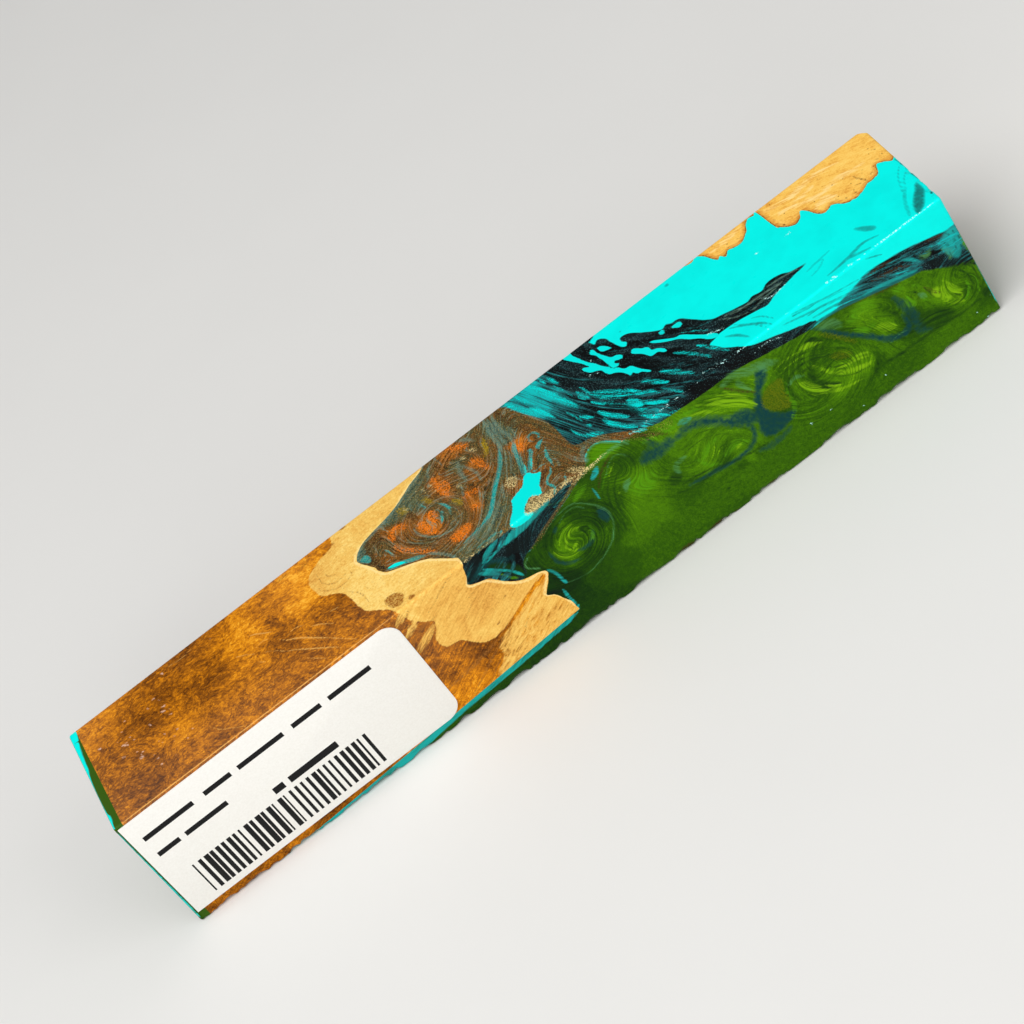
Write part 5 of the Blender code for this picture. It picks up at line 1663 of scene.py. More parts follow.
LOBE_RING = Layer("lobe_ring", streaks=(
    ("-26.6,5 -26.4,7.6 -25,9.2 -23.2,9.6 -21.4,8.6", 0.08, 0.22, 0.5),
    ("-25.8,4.2 -25.6,7 -24.2,8.4 -22.6,8.2", 0.08, 0.22, 0.5),
    ("-24.9,4.4 -24.7,6.2 -23.6,7.2", 0.08, 0.22, 0.5),
    ("-23.8,11 -22.4,13.2 -22.2,15.4", 0.07, 0.22, 0.4),
    ("-21.6,26.2 -19.6,25 -16.6,24.6", 0.16, 0.25, 0.7),
    ("-21.6,23.6 -19.8,22.2 -18.6,21", 0.12, 0.25, 0.6),
    ("-21.4,28.8 -20,27.6 -18.8,26.8", 0.16, 0.25, 0.6),
    ("-16,23 -14,21.6 -11.6,20.8", 0.06, 0.2, 0.5),
    ("-17.4,23.6 -15,22.4 -13,21.2", 0.05, 0.2, 0.45),
    ("-12.4,25.6 -11,25.1 -9.4,24.8", 0.05, 0.2, 0.5),
    ("-14.4,28.2 -12.4,26.6 -11,26", 0.05, 0.2, 0.4),
    ("-11.4,31.7 -10.9,31.5", 0.2, 0.2, 0.7, 0.6),
    ("-8.7,28.9 -8.3,28.6", 0.2, 0.3, 0.5, 0.6),
    ("-12.2,33.3 -10.4,32.8 -7.6,31.5 -5.2,30.4 -3.4,29.9", 0.09, 0.16, 0.75, 0.1),
    ("-19.4,38.6 -16.6,36.9 -13.6,35 -10.6,33.6", 0.12, 0.3, 0.6),
    ("-16.4,38.6 -14.4,37 -12.2,35.8", 0.12, 0.3, 0.5),
    ("-21.4,35.2 -18.4,34.8 -15.4,34.4 -12.2,33.6", 0.3, 0.4, 0.5),
    ("-7,33.2 -8.6,34.6 -10.4,36.6", 0.05, 0.25, 0.4),
))

# Golden rays in the heartwood, and one painted highlight: the last streak is a pale line of light along
# the ridge between top and front.
RAYS_AND_RIDGE_HIGHLIGHT = Layer("rays_and_ridge_highlight", streaks=(
    ("-37.2,6.3 -36.3,6.7 -35.2,7.7 -34,8.7", 0.09, 0.18, 0.8),
    ("-39.8,8.1 -38.8,8.8 -37.6,9.8", 0.07, 0.17, 0.65),
    ("-37.1,9.2 -36.1,8.8 -35,9.2", 0.06, 0.17, 0.6),
    ("-33.9,10.7 -33.1,11.7 -31.8,12.7 -30.2,14.5 -28.9,16 -27.6,17.5", 0.1, 0.17, 0.95),
    ("-32.9,11 -31.5,10.7 -30.2,11.5", 0.07, 0.18, 0.65),
    ("-29.9,12.3 -28.7,13.1 -27.1,14.7", 0.08, 0.17, 0.75),
    ("-34.6,12.8 -33.1,14 -31.8,15.3 -30.2,16.9 -28.7,18.4 -27.6,19.8", 0.09, 0.17, 0.9),
    ("-37.7,11.6 -36.8,12.5", 0.08, 0.17, 0.6),
    ("-46.8,16 -45.7,17.8 -43,20", 0.06, 0.17, 0.5),
    ("-39.2,17.5 -37.9,16.9 -36.4,16.2", 0.06, 0.17, 0.5),
    ("-47.9,1.2 -45.7,1.5 -43.7,1.1", 0.07, 0.18, 0.5),
    ("-32.4,16.7 -31.1,18.2 -30,19.5", 0.06, 0.17, 0.6),
    ("-26.9,12.3 -25.6,12.6", 0.07, 0.17, 0.6),
    ("-36.4,10.8 -34.8,12.2 -33.6,13.8", 0.05, 0.16, 0.5),
    ("-28.4,16.8 -26.8,18.6 -25.6,20.2", 0.06, 0.17, 0.55),
    # Painted highlight: a pale line of light along the ridge between top and front.
    ("-62.2,20.4 -45,20.42 -20,20.42", 0.09, 0.12, 0.75, 0.01),
))

SPECK = Layer("speck", streaks=(
    ("-57.7,8.4 -57.3,8.6 -56.8,9.1", 0.26, 0.14, 0.95, 0.6),
    ("-60.5,6 -60.2,6.3", 0.24, 0.16, 0.85, 0.6),
    ("-53.4,8.3 -53.1,8.6", 0.24, 0.14, 0.95, 0.6),
    ("-51.5,4.6 -51.2,4.8", 0.24, 0.14, 0.95, 0.6),
    ("-52.6,5.5 -52.4,5.6", 0.2, 0.14, 0.9, 0.6),
    ("-50.9,5.5 -50.6,5.6", 0.17, 0.12, 0.9, 0.6),
    ("-50.6,7.1 -50.3,7.2", 0.22, 0.12, 1.0, 0.6),
    ("-51.4,7.9 -51.1,7.7", 0.18, 0.12, 0.95, 0.6),
    ("-50.5,9.1 -50.2,9.3", 0.2, 0.12, 0.95, 0.6),
    ("-58.2,10.2 -58,10.6", 0.22, 0.16, 0.85, 0.6),
    ("-56.3,12.4 -55.9,12.8", 0.34, 0.2, 0.9, 0.6),
    ("-52.4,11.6 -52.1,11.7", 0.22, 0.14, 0.9, 0.6),
    ("-50.6,12.4 -50.3,12.4", 0.22, 0.12, 1.0, 0.6),
    ("-54.5,15.9 -54.2,16.2", 0.22, 0.12, 1.0, 0.6),
    ("-54.5,14.6 -54.3,14.8", 0.2, 0.16, 0.85, 0.6),
    ("-48.9,1.4 -48.8,1.8", 0.2, 0.12, 1.0, 0.6),
    ("-51.5,13.1 -51.2,13.2", 0.18, 0.14, 0.9, 0.6),
    ("-48.9,14.1 -48.8,14.2", 0.16, 0.14, 0.8, 0.6),
    ("-41.5,1.8 -41.3,1.9", 0.14, 0.12, 0.8, 0.6),
), chips=(
    ((-58.6, 8.0), (-55.4, 9.0), 12, 0.13, 1.0),
    ((-57.0, 11.4), (-54.6, 13.8), 14, 0.14, 0.9),
    ((-52.6, 4.4), (-50.4, 8.4), 10, 0.12, 0.7),
    ((-60.0, 3.0), (-50.0, 16.0), 46, 0.12, 5.0),
))

BURL_RIM = Layer("burl_rim", streaks=(
    ("-6.6,-0.4 -8,0.9 -11.2,2.4 -13.2,3.9 -17.9,5.2 -19.8,6 -20.8,7.4 -20.5,8.6 -19.7,10.4 -19.2,12 "
     "-18.4,13.2 -16.6,14.1 -14.6,15.1 -13.1,16.2 -11.2,18.4 -10.3,19.5 -10.2,20.8",
     0.16, 0.25, 0.9, 0.05),
    ("-10.6,22.4 -11.3,23.9 -10.5,24.5 -9.2,25 -7.2,27.4 -6.1,28.4 -4.9,29 -3.4,29.1 -2.8,29.6 "
     "-2.9,30.3 -4.4,32.4 -3.5,33.4 -2.7,34.9 -2.3,37", 0.16, 0.25, 0.85, 0.05),
))

CORNER_RIM = Layer("corner_rim", streaks=(
    ("34.9,0.4 35.6,0.7 36.8,0.4 37.5,1.2 38,2.6 38.4,3.4 39,3.3 39.3,3.8 40.2,3.2 40.9,3.5 41.7,3.7 "
     "42.6,3.3 43.6,2.2 44.3,0.9 44.9,0.5 45.7,0.6 46.2,1 46.4,4.3 46.9,5.9 47.6,6.8 48.4,7.3 49.3,7 "
     "50.3,5.9", 0.15, 0.2, 0.95, 0.02),
    ("50.3,5.9 50.8,6.9 51.2,8 52,9.1 52.8,8.9 53.5,8.7 54.6,9.9 55.5,10.4 56.5,10.5 57.5,10.2 "
     "58.5,9.6 59.7,9.5 60.5,8.9 60.9,7.8 61.8,8.1 62.7,8.8 63.5,8", 0.13, 0.2, 0.85, 0.02),
))

CORNER_EDGE = Layer("corner_edge", streaks=tuple(
    (path, 0.5, 0.5, 0.8, 0.02) for path, *_ in CORNER_RIM.streaks
))

CORNER_MARK = Layer("corner_mark", streaks=(
    ("57.8,6.5 58.2,7.8 58.8,9.3", 0.12, 0.2, 0.8),
    ("47.2,5.6 47.6,6.2", 0.12, 0.15, 0.8),
    ("46.9,3.6 47.1,4.2", 0.12, 0.15, 0.7),
    ("49.2,6.2 49.5,6.6", 0.1, 0.15, 0.7),
    ("56.2,9.4 56.8,9.8", 0.12, 0.15, 0.8),
    ("55.2,9.2 55.4,9.6", 0.1, 0.15, 0.7),
    ("54.2,8.2 54.6,8.6", 0.08, 0.15, 0.6),
    ("59.4,8.6 60.2,8.2", 0.12, 0.15, 0.8),
    ("61.2,6.6 61.8,7", 0.1, 0.15, 0.8),
    ("62,4.6 62.5,5.2", 0.1, 0.15, 0.6),
    ("40.4,1.8 40.8,2.2", 0.08, 0.15, 0.6),
    ("42,2.4 42.4,2.6", 0.08, 0.15, 0.6),
    ("57.2,8.4 58,8.8", 0.1, 0.2, 0.8),
), chips=(
    ((46.8, 3.0), (48.8, 6.8), 9, 0.1, 0.7),
    ((51.6, 8.0), (57.0, 9.9), 10, 0.09, 0.5),
    ((58.8, 7.4), (62.6, 7.2), 9, 0.1, 0.9),
    ((38.4, 2.4), (42.0, 3.0), 6, 0.08, 0.5),
))

CORNER_PALE = Layer("corner_pale", streaks=(
    ("46.6,1.4 50.4,2.2 54.4,1.6 58,2.4", 0.3, 0.7, 0.6),
    ("50,4.4 53,5.4 56.4,5.2 60,5.8", 0.3, 0.8, 0.55),
    ("48,3.6 50.6,3.8 53.4,3.2", 0.2, 0.6, 0.4),
    ("51.8,7.2 53.4,7 54.6,7.8", 0.5, 0.8, 0.6),
    ("38.4,1.4 41.4,1.2 43.4,0.8", 0.3, 0.5, 0.5),
))

MAIN_BURL_LAYERS = (SAPWOOD, TAN_LOBE, BROWN_SPOT, LOBE_RING, RAYS_AND_RIDGE_HIGHLIGHT, SPECK, BURL_RIM)
MAIN_BURL_TONES = (WOOD_TONE_AND_SHEEN, PAINTED_SHEEN, SAP_TONE)
CORNER_LAYERS = (CORNER_RIM, CORNER_EDGE, CORNER_MARK, CORNER_PALE)


# Finishes


@dataclass(frozen=True)
class Ink:
    """How one layer of marks is coloured.

    noise names the pattern that frays and breaks it, fray is how far its edge moves, in fades,
    and broken is how much of its colour the pattern's gaps take away.
    """

    layer: str
    colour: Colour
    noise: str
    fray: float
    broken: float = 0.0
    gaps: Point = (0.4, 0.58)

    def lay(self, s: Sketch, colour: Socket, noises: dict[str, Socket]) -> Socket:
        """Lays the marks over a colour.

        Args:
            s: The material's nodes.
            colour: What lies under them.
            noises: The patterns by name.

        Returns:
            The colour with the marks on it.
        """
        noise = noises[self.noise]
        share = s.frayed(self.layer, noise, self.fray)
        if self.broken:
            whole = s.spread(noise, Span(*self.gaps, 1.0 - self.broken))
            share = s.math("MULTIPLY", share, whole)
        return s.mix(share, colour, self.colour)


@dataclass(frozen=True)
class Strand:
    """Noise drawn out along the stirring: features for each mm along and across it, its depth."""

    along: float
    across: float
    depth: float
    noise: Noise

    def draw(self, s: Sketch) -> Socket:
        """Adds the noise to a material whose mesh carries the stirring."""
        along = s.math("MULTIPLY", s.attribute("along"), self.along)
        across = s.math("MULTIPLY", s.attribute("across"), self.across)
        return s.noise(s.vector(along, across, self.depth), self.noise)


@dataclass(frozen=True)
class ResinFinish:
    """Marbled casting resin, sawn and given a quick polish.

    hair, silk and fine are strands along the stirring, the other noises are cloudy.
    """

    turquoise: Colour = (0, 240, 230)
    turquoise_deep: Colour = (0, 224, 216)
    bright_teal: Colour = (16, 186, 184)
    teal: Colour = (34, 100, 102)
    slate: Colour = (17, 36, 41)
    black: Colour = (6, 8, 9)
    dust: Colour = (70, 104, 104)
    cap_green: Colour = (54, 88, 18)
    thread: Colour = (112, 142, 122)
    mica: Colour = (196, 160, 88)
    shadow: Colour = (30, 24, 12)
    green_stops: Stops = (
        (0.0, (8, 24, 10)), (0.2, (18, 50, 6)), (0.4, (42, 82, 0)), (0.6, (76, 126, 0)),
        (0.8, (120, 172, 6)), (1.0, (168, 208, 30)),
    )
    copper_stops: Stops = (
        (0.0, (70, 110, 104)), (0.22, (84, 96, 66)), (0.42, (86, 72, 38)), (0.6, (112, 68, 24)),
        (0.8, (160, 92, 24)), (1.0, (206, 118, 32)),
    )
    inks: tuple[Ink, ...] = (
        Ink("navy", (12, 60, 60), "cloudy", 1.6),
        Ink("forest", (18, 50, 8), "hair", 2.0, 0.3),
        Ink("leaf", (82, 146, 8), "hair", 2.4, 0.6),
        Ink("lime", (122, 172, 14), "hair", 2.6, 0.75),
        Ink("sage", (76, 134, 76), "hair", 2.0, 0.5),
        Ink("brown", (62, 40, 20), "grain", 2.0, 0.3),
        Ink("rust", (236, 118, 10), "speckle", 3.0, 0.85),
        Ink("gold", (164, 136, 16), "grain", 2.4, 0.5),
        Ink("olive", (92, 106, 4), "grain", 2.0, 0.3),
        Ink("mist", (106, 138, 122), "fine", 2.0, 0.55),
        Ink("teal", (26, 162, 156), "hair", 2.0, 0.45),
        Ink("spray", (0, 218, 212), "spatter", 2.8, 0.9),
        Ink("ink", (12, 22, 22), "hair", 2.4, 0.2),
        Ink("aqua", (0, 228, 220), "hair", 1.4),
        Ink("veil", (22, 92, 88), "cloudy", 0.5),
        # Colours the pale specks, and the painted highlight along the ridge.
        Ink("pale", (212, 192, 132), "speckle", 3.0, 0.8),
        # Colours the painted highlights.
        Ink("glint", (200, 250, 244), "speckle", 3.0, 0.95),
    )
    hair: Strand = Strand(0.16, 1.3, 0.0, Noise(1.0, 5.0, 0.62, 0.4))
    silk: Strand = Strand(0.2, 0.55, 7.0, Noise(1.0, 5.0, 0.62, 0.7))
    fine: Strand = Strand(0.8, 4.2, 3.0, Noise(1.0, 3.0, 0.62, 0.6))
    grain: Noise = Noise(4.4, 2.0, 0.6)
    sand: Noise = Noise(7.5, 1.0, 0.5)
    cloud: Noise = Noise(0.3, 3.0, 0.5)
    mottle: Noise = Noise(1.6, 4.0, 0.6)
    polish: Noise = Noise(0.8, 4.0, 0.6)
    scratch: Grain = Grain((0.5, 9.0, 9.0), Noise(1.0, 3.0, 0.6))
    pits: float = 0.55
    deep_share: Span = Span(0.4, 0.75, 0.0, 0.6)
    thread_share: Span = Span(0.58, 0.66, 0.0, 0.75)
    between_threads: Span = Span(0.44, 0.34, 0.0, 0.75)
    slate_share: Span = Span(0.46, 0.66, 0.0, 0.8)
    dust_share: Span = Span(0.6, 0.68, 0.0, 0.7)
    teal_share: Span = Span(0.3, 0.44)
    night_share: Span = Span(0.46, 0.58)
    mica_share: Span = Span(0.58, 0.68, 0.0, 0.5)
    between_mica: Span = Span(0.46, 0.36, 0.0, 0.5)
    pit_depth: Span = Span(0.035, 0.075)
    roughness: Span = Span(0.3, 0.7, 0.26, 0.42)

    def make(self) -> bpy.types.Material:
        """Builds the material.

        Returns:
            The material, which reads the layers and tones that the mesh carries.
        """
        s = Sketch("dyed_resin")
        place = s.millimetres()
        raw = {"hair": self.hair.draw(s), "silk": self.silk.draw(s), "fine": self.fine.draw(s)}
        for name, kind in (("grain", self.grain), ("sand", self.sand), ("cloudy", self.mottle)):
            raw[name] = s.noise(place, kind)
        hair, fine, grain, sand = (raw[name] for name in ("hair", "fine", "grain", "sand"))

        deep = s.spread(s.noise(place, self.cloud), self.deep_share)
        colour = s.mix(deep, self.turquoise, self.turquoise_deep)
        copper_share = s.frayed("copper_zone", raw["silk"], 1.6)
        colour = s.mix(copper_share, colour, self.copper(s, raw))
        colour = s.mix(s.frayed("green_zone", raw["silk"], 2.0), colour, self.green(s, raw))
        colour = s.mix(s.frayed("cap_green", raw["silk"], 0.8), colour, self.cap_green)
        streak_share = s.frayed("streak_zone", hair, 2.0)
        colour = s.mix(streak_share, colour, self.streaks(s, raw))

        noises = raw | {
            "hair": s.sway(hair, (fine, 0.45)),
            "grain": s.sway(grain, (fine, 0.5)),
            "speckle": s.sway(grain, (sand, 0.9)),
            "spatter": s.sway(hair, (fine, 0.6), (sand, 0.5)),
        }
        for ink in self.inks:
            colour = ink.lay(s, colour, noises)
        covered = s.math("ADD", streak_share, s.frayed("aqua", hair, 1.4))
        bare = s.math("SUBTRACT", copper_share, covered)
        for share, fleck in ((self.mica_share, self.mica), (self.between_mica, self.shadow)):
            colour = s.mix(s.math("MULTIPLY", bare, s.spread(sand, share)), colour, fleck)

        pits = s.spread(s.cells(place, self.pits), self.pit_depth)
        s.bump(s.math("MULTIPLY_ADD", s.grain(place, self.scratch), 0.15, pits), 0.02, 0.2)
        rough = s.spread(s.noise(place, self.polish), self.roughness)
        return s.finish(colour, rough, IOR=1.4, Specular_IOR_Level=0.08)

    def copper(self, s: Sketch, raw: dict[str, Socket]) -> Socket:
        """Mottles the copper, with pale threads and the shadows between them."""
        hair, silk, fine, grain = (raw[name] for name in ("hair", "silk", "fine", "grain"))
        warm = s.sway(s.attribute("warmth"), (silk, 0.5), (grain, 0.8), (hair, 0.8), (fine, 0.9))
        strands = s.sway(hair, (fine, 0.9))
        colour = s.ramp(warm, self.copper_stops)
        colour = s.mix(s.spread(strands, self.thread_share), colour, self.thread)
        return s.mix(s.spread(strands, self.between_threads), colour, self.shadow)

    def green(self, s: Sketch, raw: dict[str, Socket]) -> Socket:
        """Swirls the green, the more the livelier the stirring is."""
        lively = s.attribute("stir")
        swirl = s.sway(
            s.attribute("light"),
            (raw["silk"], lively),
            (raw["hair"], s.math("MULTIPLY", lively, 0.5)),
            (raw["fine"], s.math("MULTIPLY_ADD", lively, 0.35, 0.12)),
            (raw["grain"], 0.24),
            (raw["cloudy"], 0.24),
        )
        return s.ramp(swirl, self.green_stops)

    def streaks(self, s: Sketch, raw: dict[str, Socket]) -> Socket:
        """Draws the streaks from bright teal to night, the darker the higher darkness is."""
        silk = raw["silk"]
        darkness = s.math("SUBTRACT", s.attribute("darkness"), 0.5)
        dark = s.math("MULTIPLY_ADD", darkness, 0.42, raw["hair"])
        dark = s.sway(dark, (raw["fine"], 0.55), (raw["grain"], 0.16))
        night = s.mix(s.spread(silk, self.slate_share), self.black, self.slate)
        dusty = s.sway(raw["sand"], (silk, 0.5))
        night = s.mix(s.spread(dusty, self.dust_share), night, self.dust)
        shine = s.mix(s.spread(dark, self.teal_share), self.bright_teal, self.teal)
        return s.mix(s.spread(dark, self.night_share), shine, night)


@dataclass(frozen=True)
class MainBurlFinish:
    """Stabilised burl: mottled heartwood, cream sapwood and a pale live edge, with a painted sheen and
    a painted highlight along the ridge.
    """

    pore: Colour = (150, 96, 42)
    # The grey light of the painted sheen.
    painted_sheen: Colour = (50, 46, 46)
    heart_stops: Stops = (
        (0.0, (66, 32, 2)), (0.2, (98, 52, 3)), (0.42, (144, 82, 5)), (0.62, (194, 116, 8)),
        (0.82, (230, 146, 14)), (1.0, (250, 180, 50)),
    )
    sap_stops: Stops = (
        (0.0, (160, 102, 38)), (0.3, (208, 146, 62)), (0.55, (232, 178, 84)), (0.8, (242, 198, 102)),
        (1.0, (250, 214, 124)),
    )
    inks: tuple[Ink, ...] = (
        Ink("brown_spot", (150, 90, 28), "grain", 2.0, 0.2),
        Ink("lobe_ring", (150, 96, 40), "grain", 2.4, 0.4),
        # Colours the rays, and the painted highlight along the ridge.
        Ink("rays_and_ridge_highlight", (236, 176, 90), "grain", 0.9),
        Ink("speck", (216, 174, 148), "grain", 2.0, 0.3),
        Ink("burl_rim", (255, 222, 146), "grain", 1.6),
    )
    drift: Noise = Noise(0.12, 2.0, 0.5)
    curl: Place = (9.0, -0.7, 0.5)
    fibre: Grain = Grain((0.5, 2.6, 3.0), Noise(1.0, 5.0, 0.62, 0.4), (0.0, -31.0, 0.0))
    lines: Grain = Grain((0.26, 2.6, 3.2), Noise(1.0, 3.0, 0.6, 0.5), (0.0, -31.0, 0.0))
    cloud: Noise = Noise(0.34, 4.0, 0.55, 0.8)
    grain: Noise = Noise(3.6, 3.0, 0.65)
    pores: Noise = Noise(5.0, 2.0, 0.6)
    veins: tuple[tuple[Noise, Span], ...] = (
        (Noise(0.45, 3.0, 0.55, 0.6), Span(0.0, 0.05, -0.14, 0.0)),
        (Noise(0.7, 3.0, 0.55, 0.6), Span(0.0, 0.035, 0.18, 0.0)),
    )
    pore_share: Span = Span(0.6, 0.7, 0.0, 0.35)
    tan: Point = (0.95, 0.07)
    roughness: Span = Span(0.3, 0.7, 0.34, 0.5)

    def make(self) -> bpy.types.Material:
        """Builds the material.

        Returns:
            The material, which reads the layers and tones that the mesh carries.
        """
        s = Sketch("burl_wood")
        place = s.millimetres()
        reach, to_back, to_top = self.curl
        bend = s.math("MULTIPLY", s.noise(place, self.drift), reach)
        aside = (s.math("MULTIPLY", bend, to_back), s.math("MULTIPLY", bend, to_top))
        curly = s.moved(place, s.vector(bend, *aside))
        fibre, lines = s.grain(curly, self.fibre), s.grain(place, self.lines)
        cloud, grain = s.noise(curly, self.cloud), s.noise(place, self.grain)

        # The brightest golden zones of this tone are a painted sheen.
        tone = s.attribute("wood_tone_and_sheen")
        tone = s.sway(tone, (cloud, 0.8), (fibre, 0.5), (grain, 0.4), (lines, 0.75))
        for kind, span in self.veins:
            off = s.math("ABSOLUTE", s.math("SUBTRACT", s.noise(curly, kind), 0.5))
            tone = s.math("ADD", tone, s.spread(off, span))
        # Painted sheen: grey light added over the heartwood where the sheen value is high.
        heart = s.mix(s.attribute("painted_sheen"), s.ramp(tone, self.heart_stops), self.painted_sheen, "ADD")
        pale = s.attribute("sap_tone")
        pale = s.sway(pale, (cloud, 0.75), (fibre, 0.45), (grain, 0.8), (lines, 0.8))
        tan = s.ramp(s.math("MULTIPLY_ADD", pale, *self.tan), self.sap_stops)

        colour = s.mix(s.frayed("tan_lobe", fibre, 3.0), heart, tan)
        colour = s.mix(s.frayed("sapwood", lines, 2.4), colour, s.ramp(pale, self.sap_stops))
        open_pores = s.spread(s.noise(place, self.pores), self.pore_share)
        colour = s.mix(open_pores, colour, self.pore)
        for ink in self.inks:
            colour = ink.lay(s, colour, {"grain": grain})

        s.bump(s.math("MULTIPLY_ADD", grain, 0.4, fibre), 0.02, 0.14)
        return s.finish(colour, s.spread(fibre, self.roughness), IOR=1.4, Specular_IOR_Level=0.08)


@dataclass(frozen=True)
class CornerBurlFinish:
    """Pale orange sapwood of the corner burl, with a thin dark live edge."""

    pit: Colour = (120, 66, 20)
    stops: Stops = (
        (0.0, (170, 100, 30)), (0.3, (222, 152, 56)), (0.55, (248, 194, 88)), (0.8, (254, 212, 110)),
        (1.0, (255, 226, 146)),
    )
    inks: tuple[Ink, ...] = (
        Ink("corner_pale", (255, 222, 146), "fibre", 3.0, 0.4),
        Ink("corner_edge", (206, 132, 48), "fibre", 2.6, 0.4),
        Ink("corner_mark", (122, 66, 22), "grain", 2.4, 0.2),
        Ink("corner_rim", (112, 64, 22), "grain", 2.0, 0.3),
    )
    fibre: Grain = Grain((0.4, 2.2, 2.2), Noise(1.0, 5.0, 0.6, 0.8), (0.0, 0.0, -24.0))
    cloud: Noise = Noise(0.5, 4.0, 0.55, 0.5)
    grain: Noise = Noise(3.6, 3.0, 0.65)
    pits: float = 0.8
    tone: float = 0.56
    pit_share: Span = Span(0.05, 0.1, 0.75, 0.0)
    roughness: Span = Span(0.3, 0.7, 0.36, 0.5)

    def make(self) -> bpy.types.Material:
        """Builds the material.

        Returns:
            The material, which reads the layers that the mesh carries.
        """
        s = Sketch("pale_burl_wood")
        place = s.millimetres()
        fibre, grain = s.grain(place, self.fibre), s.noise(place, self.grain)
        cloud = s.noise(place, self.cloud)
        tone = s.sway(self.tone, (fibre, 0.8), (cloud, 0.6), (grain, 0.6))
        colour = s.ramp(tone, self.stops)
        for ink in self.inks:
            colour = ink.lay(s, colour, {"fibre": fibre, "grain": grain})
        pits = s.spread(s.cells(place, self.pits), self.pit_share)
        colour = s.mix(pits, colour, self.pit)
        s.bump(s.math("SUBTRACT", fibre, pits), 0.02, 0.3)
        return s.finish(colour, s.spread(fibre, self.roughness), IOR=1.4, Specular_IOR_Level=0.15)


@dataclass(frozen=True)
class LabelFinish:
    """Off-white coated paper with plain dashes in place of words and a row of plain bars."""

    paper: Colour = (238, 236, 230)
    shade: Colour = (226, 223, 215)
    print_ink: Colour = (14, 13, 14)
    text_lines: tuple[tuple[float, float, Outline], ...] = (
        (14.3, 15.1, ((1.5, 9.0), (10.7, 14.8), (15.9, 22.8), (24.2, 28.6), (29.8, 36.2))),
        (11.0, 11.8, ((1.5, 4.8), (5.7, 12.1))),
        (7.6, 8.7, ((17.2, 18.8), (19.6, 27.0))),
    )
    bars: Box = (3.4, 30.6, 1.1, 6.8)
    bar_pitch: float = 0.88
    thinnest: float = 0.25
    variety: float = 0.62
    fibres: Noise = Noise(4.0, 4.0, 0.6)
    shade_share: Span = Span(0.35, 0.7, 0.0, 0.5)

    def inside(self, s: Sketch, x: Socket, z: Socket, box: Box) -> Socket:
        """Whether a place lies in a box of the print.

        Args:
            s: The material's nodes.
            x: Distance from the label's left edge, mm.
            z: Height over the label's lower edge, mm.
            box: Left, right, bottom and top, mm.

        Returns:
            1 inside, 0 outside.
        """
        left, right, bottom, top = box
        wide = s.math("MULTIPLY", s.math("GREATER_THAN", x, left), s.math("LESS_THAN", x, right))
        tall = s.math("MULTIPLY", s.math("GREATER_THAN", z, bottom), s.math("LESS_THAN", z, top))
        return s.math("MULTIPLY", wide, tall)

    def striped(self, s: Sketch, x: Socket) -> Socket:
        """Whether a place across the row of bars lies on one, each bar with its own width."""
        turn = s.math("DIVIDE", x, self.bar_pitch)
        pick = s.tree.nodes.new("ShaderNodeTexWhiteNoise")
        pick.noise_dimensions = "1D"
        s.put(pick, "W", s.math("FLOOR", turn))
        width = s.math("MULTIPLY_ADD", pick.outputs["Value"], self.variety, self.thinnest)
        return s.math("LESS_THAN", s.math("FRACT", turn), width)

    def make(self, left: float, foot: float) -> bpy.types.Material:
        """Builds the material.

        Args:
            left: The label's left edge in the frame, mm.
            foot: Its lower edge, mm.

        Returns:
            The material.
        """
        s = Sketch("paper")
        place = s.millimetres()
        split = s.tree.nodes.new("ShaderNodeSeparateXYZ")
        s.put(split, 0, place)
        x = s.math("SUBTRACT", split.outputs["X"], left)
        z = s.math("SUBTRACT", split.outputs["Z"], foot)
        fibres = s.noise(place, self.fibres)
        colour = s.mix(s.spread(fibres, self.shade_share), self.paper, self.shade)
        printed = s.math("MULTIPLY", self.striped(s, x), self.inside(s, x, z, self.bars))
        for bottom, top, dashes in self.text_lines:
            for dash in dashes:
                printed = s.math("MAXIMUM", printed, self.inside(s, x, z, (*dash, bottom, top)))
        colour = s.mix(printed, colour, self.print_ink)
        s.bump(fibres, 0.01, 0.3)
        return s.finish(colour, 0.5, IOR=1.45, Specular_IOR_Level=0.2)


# The pieces


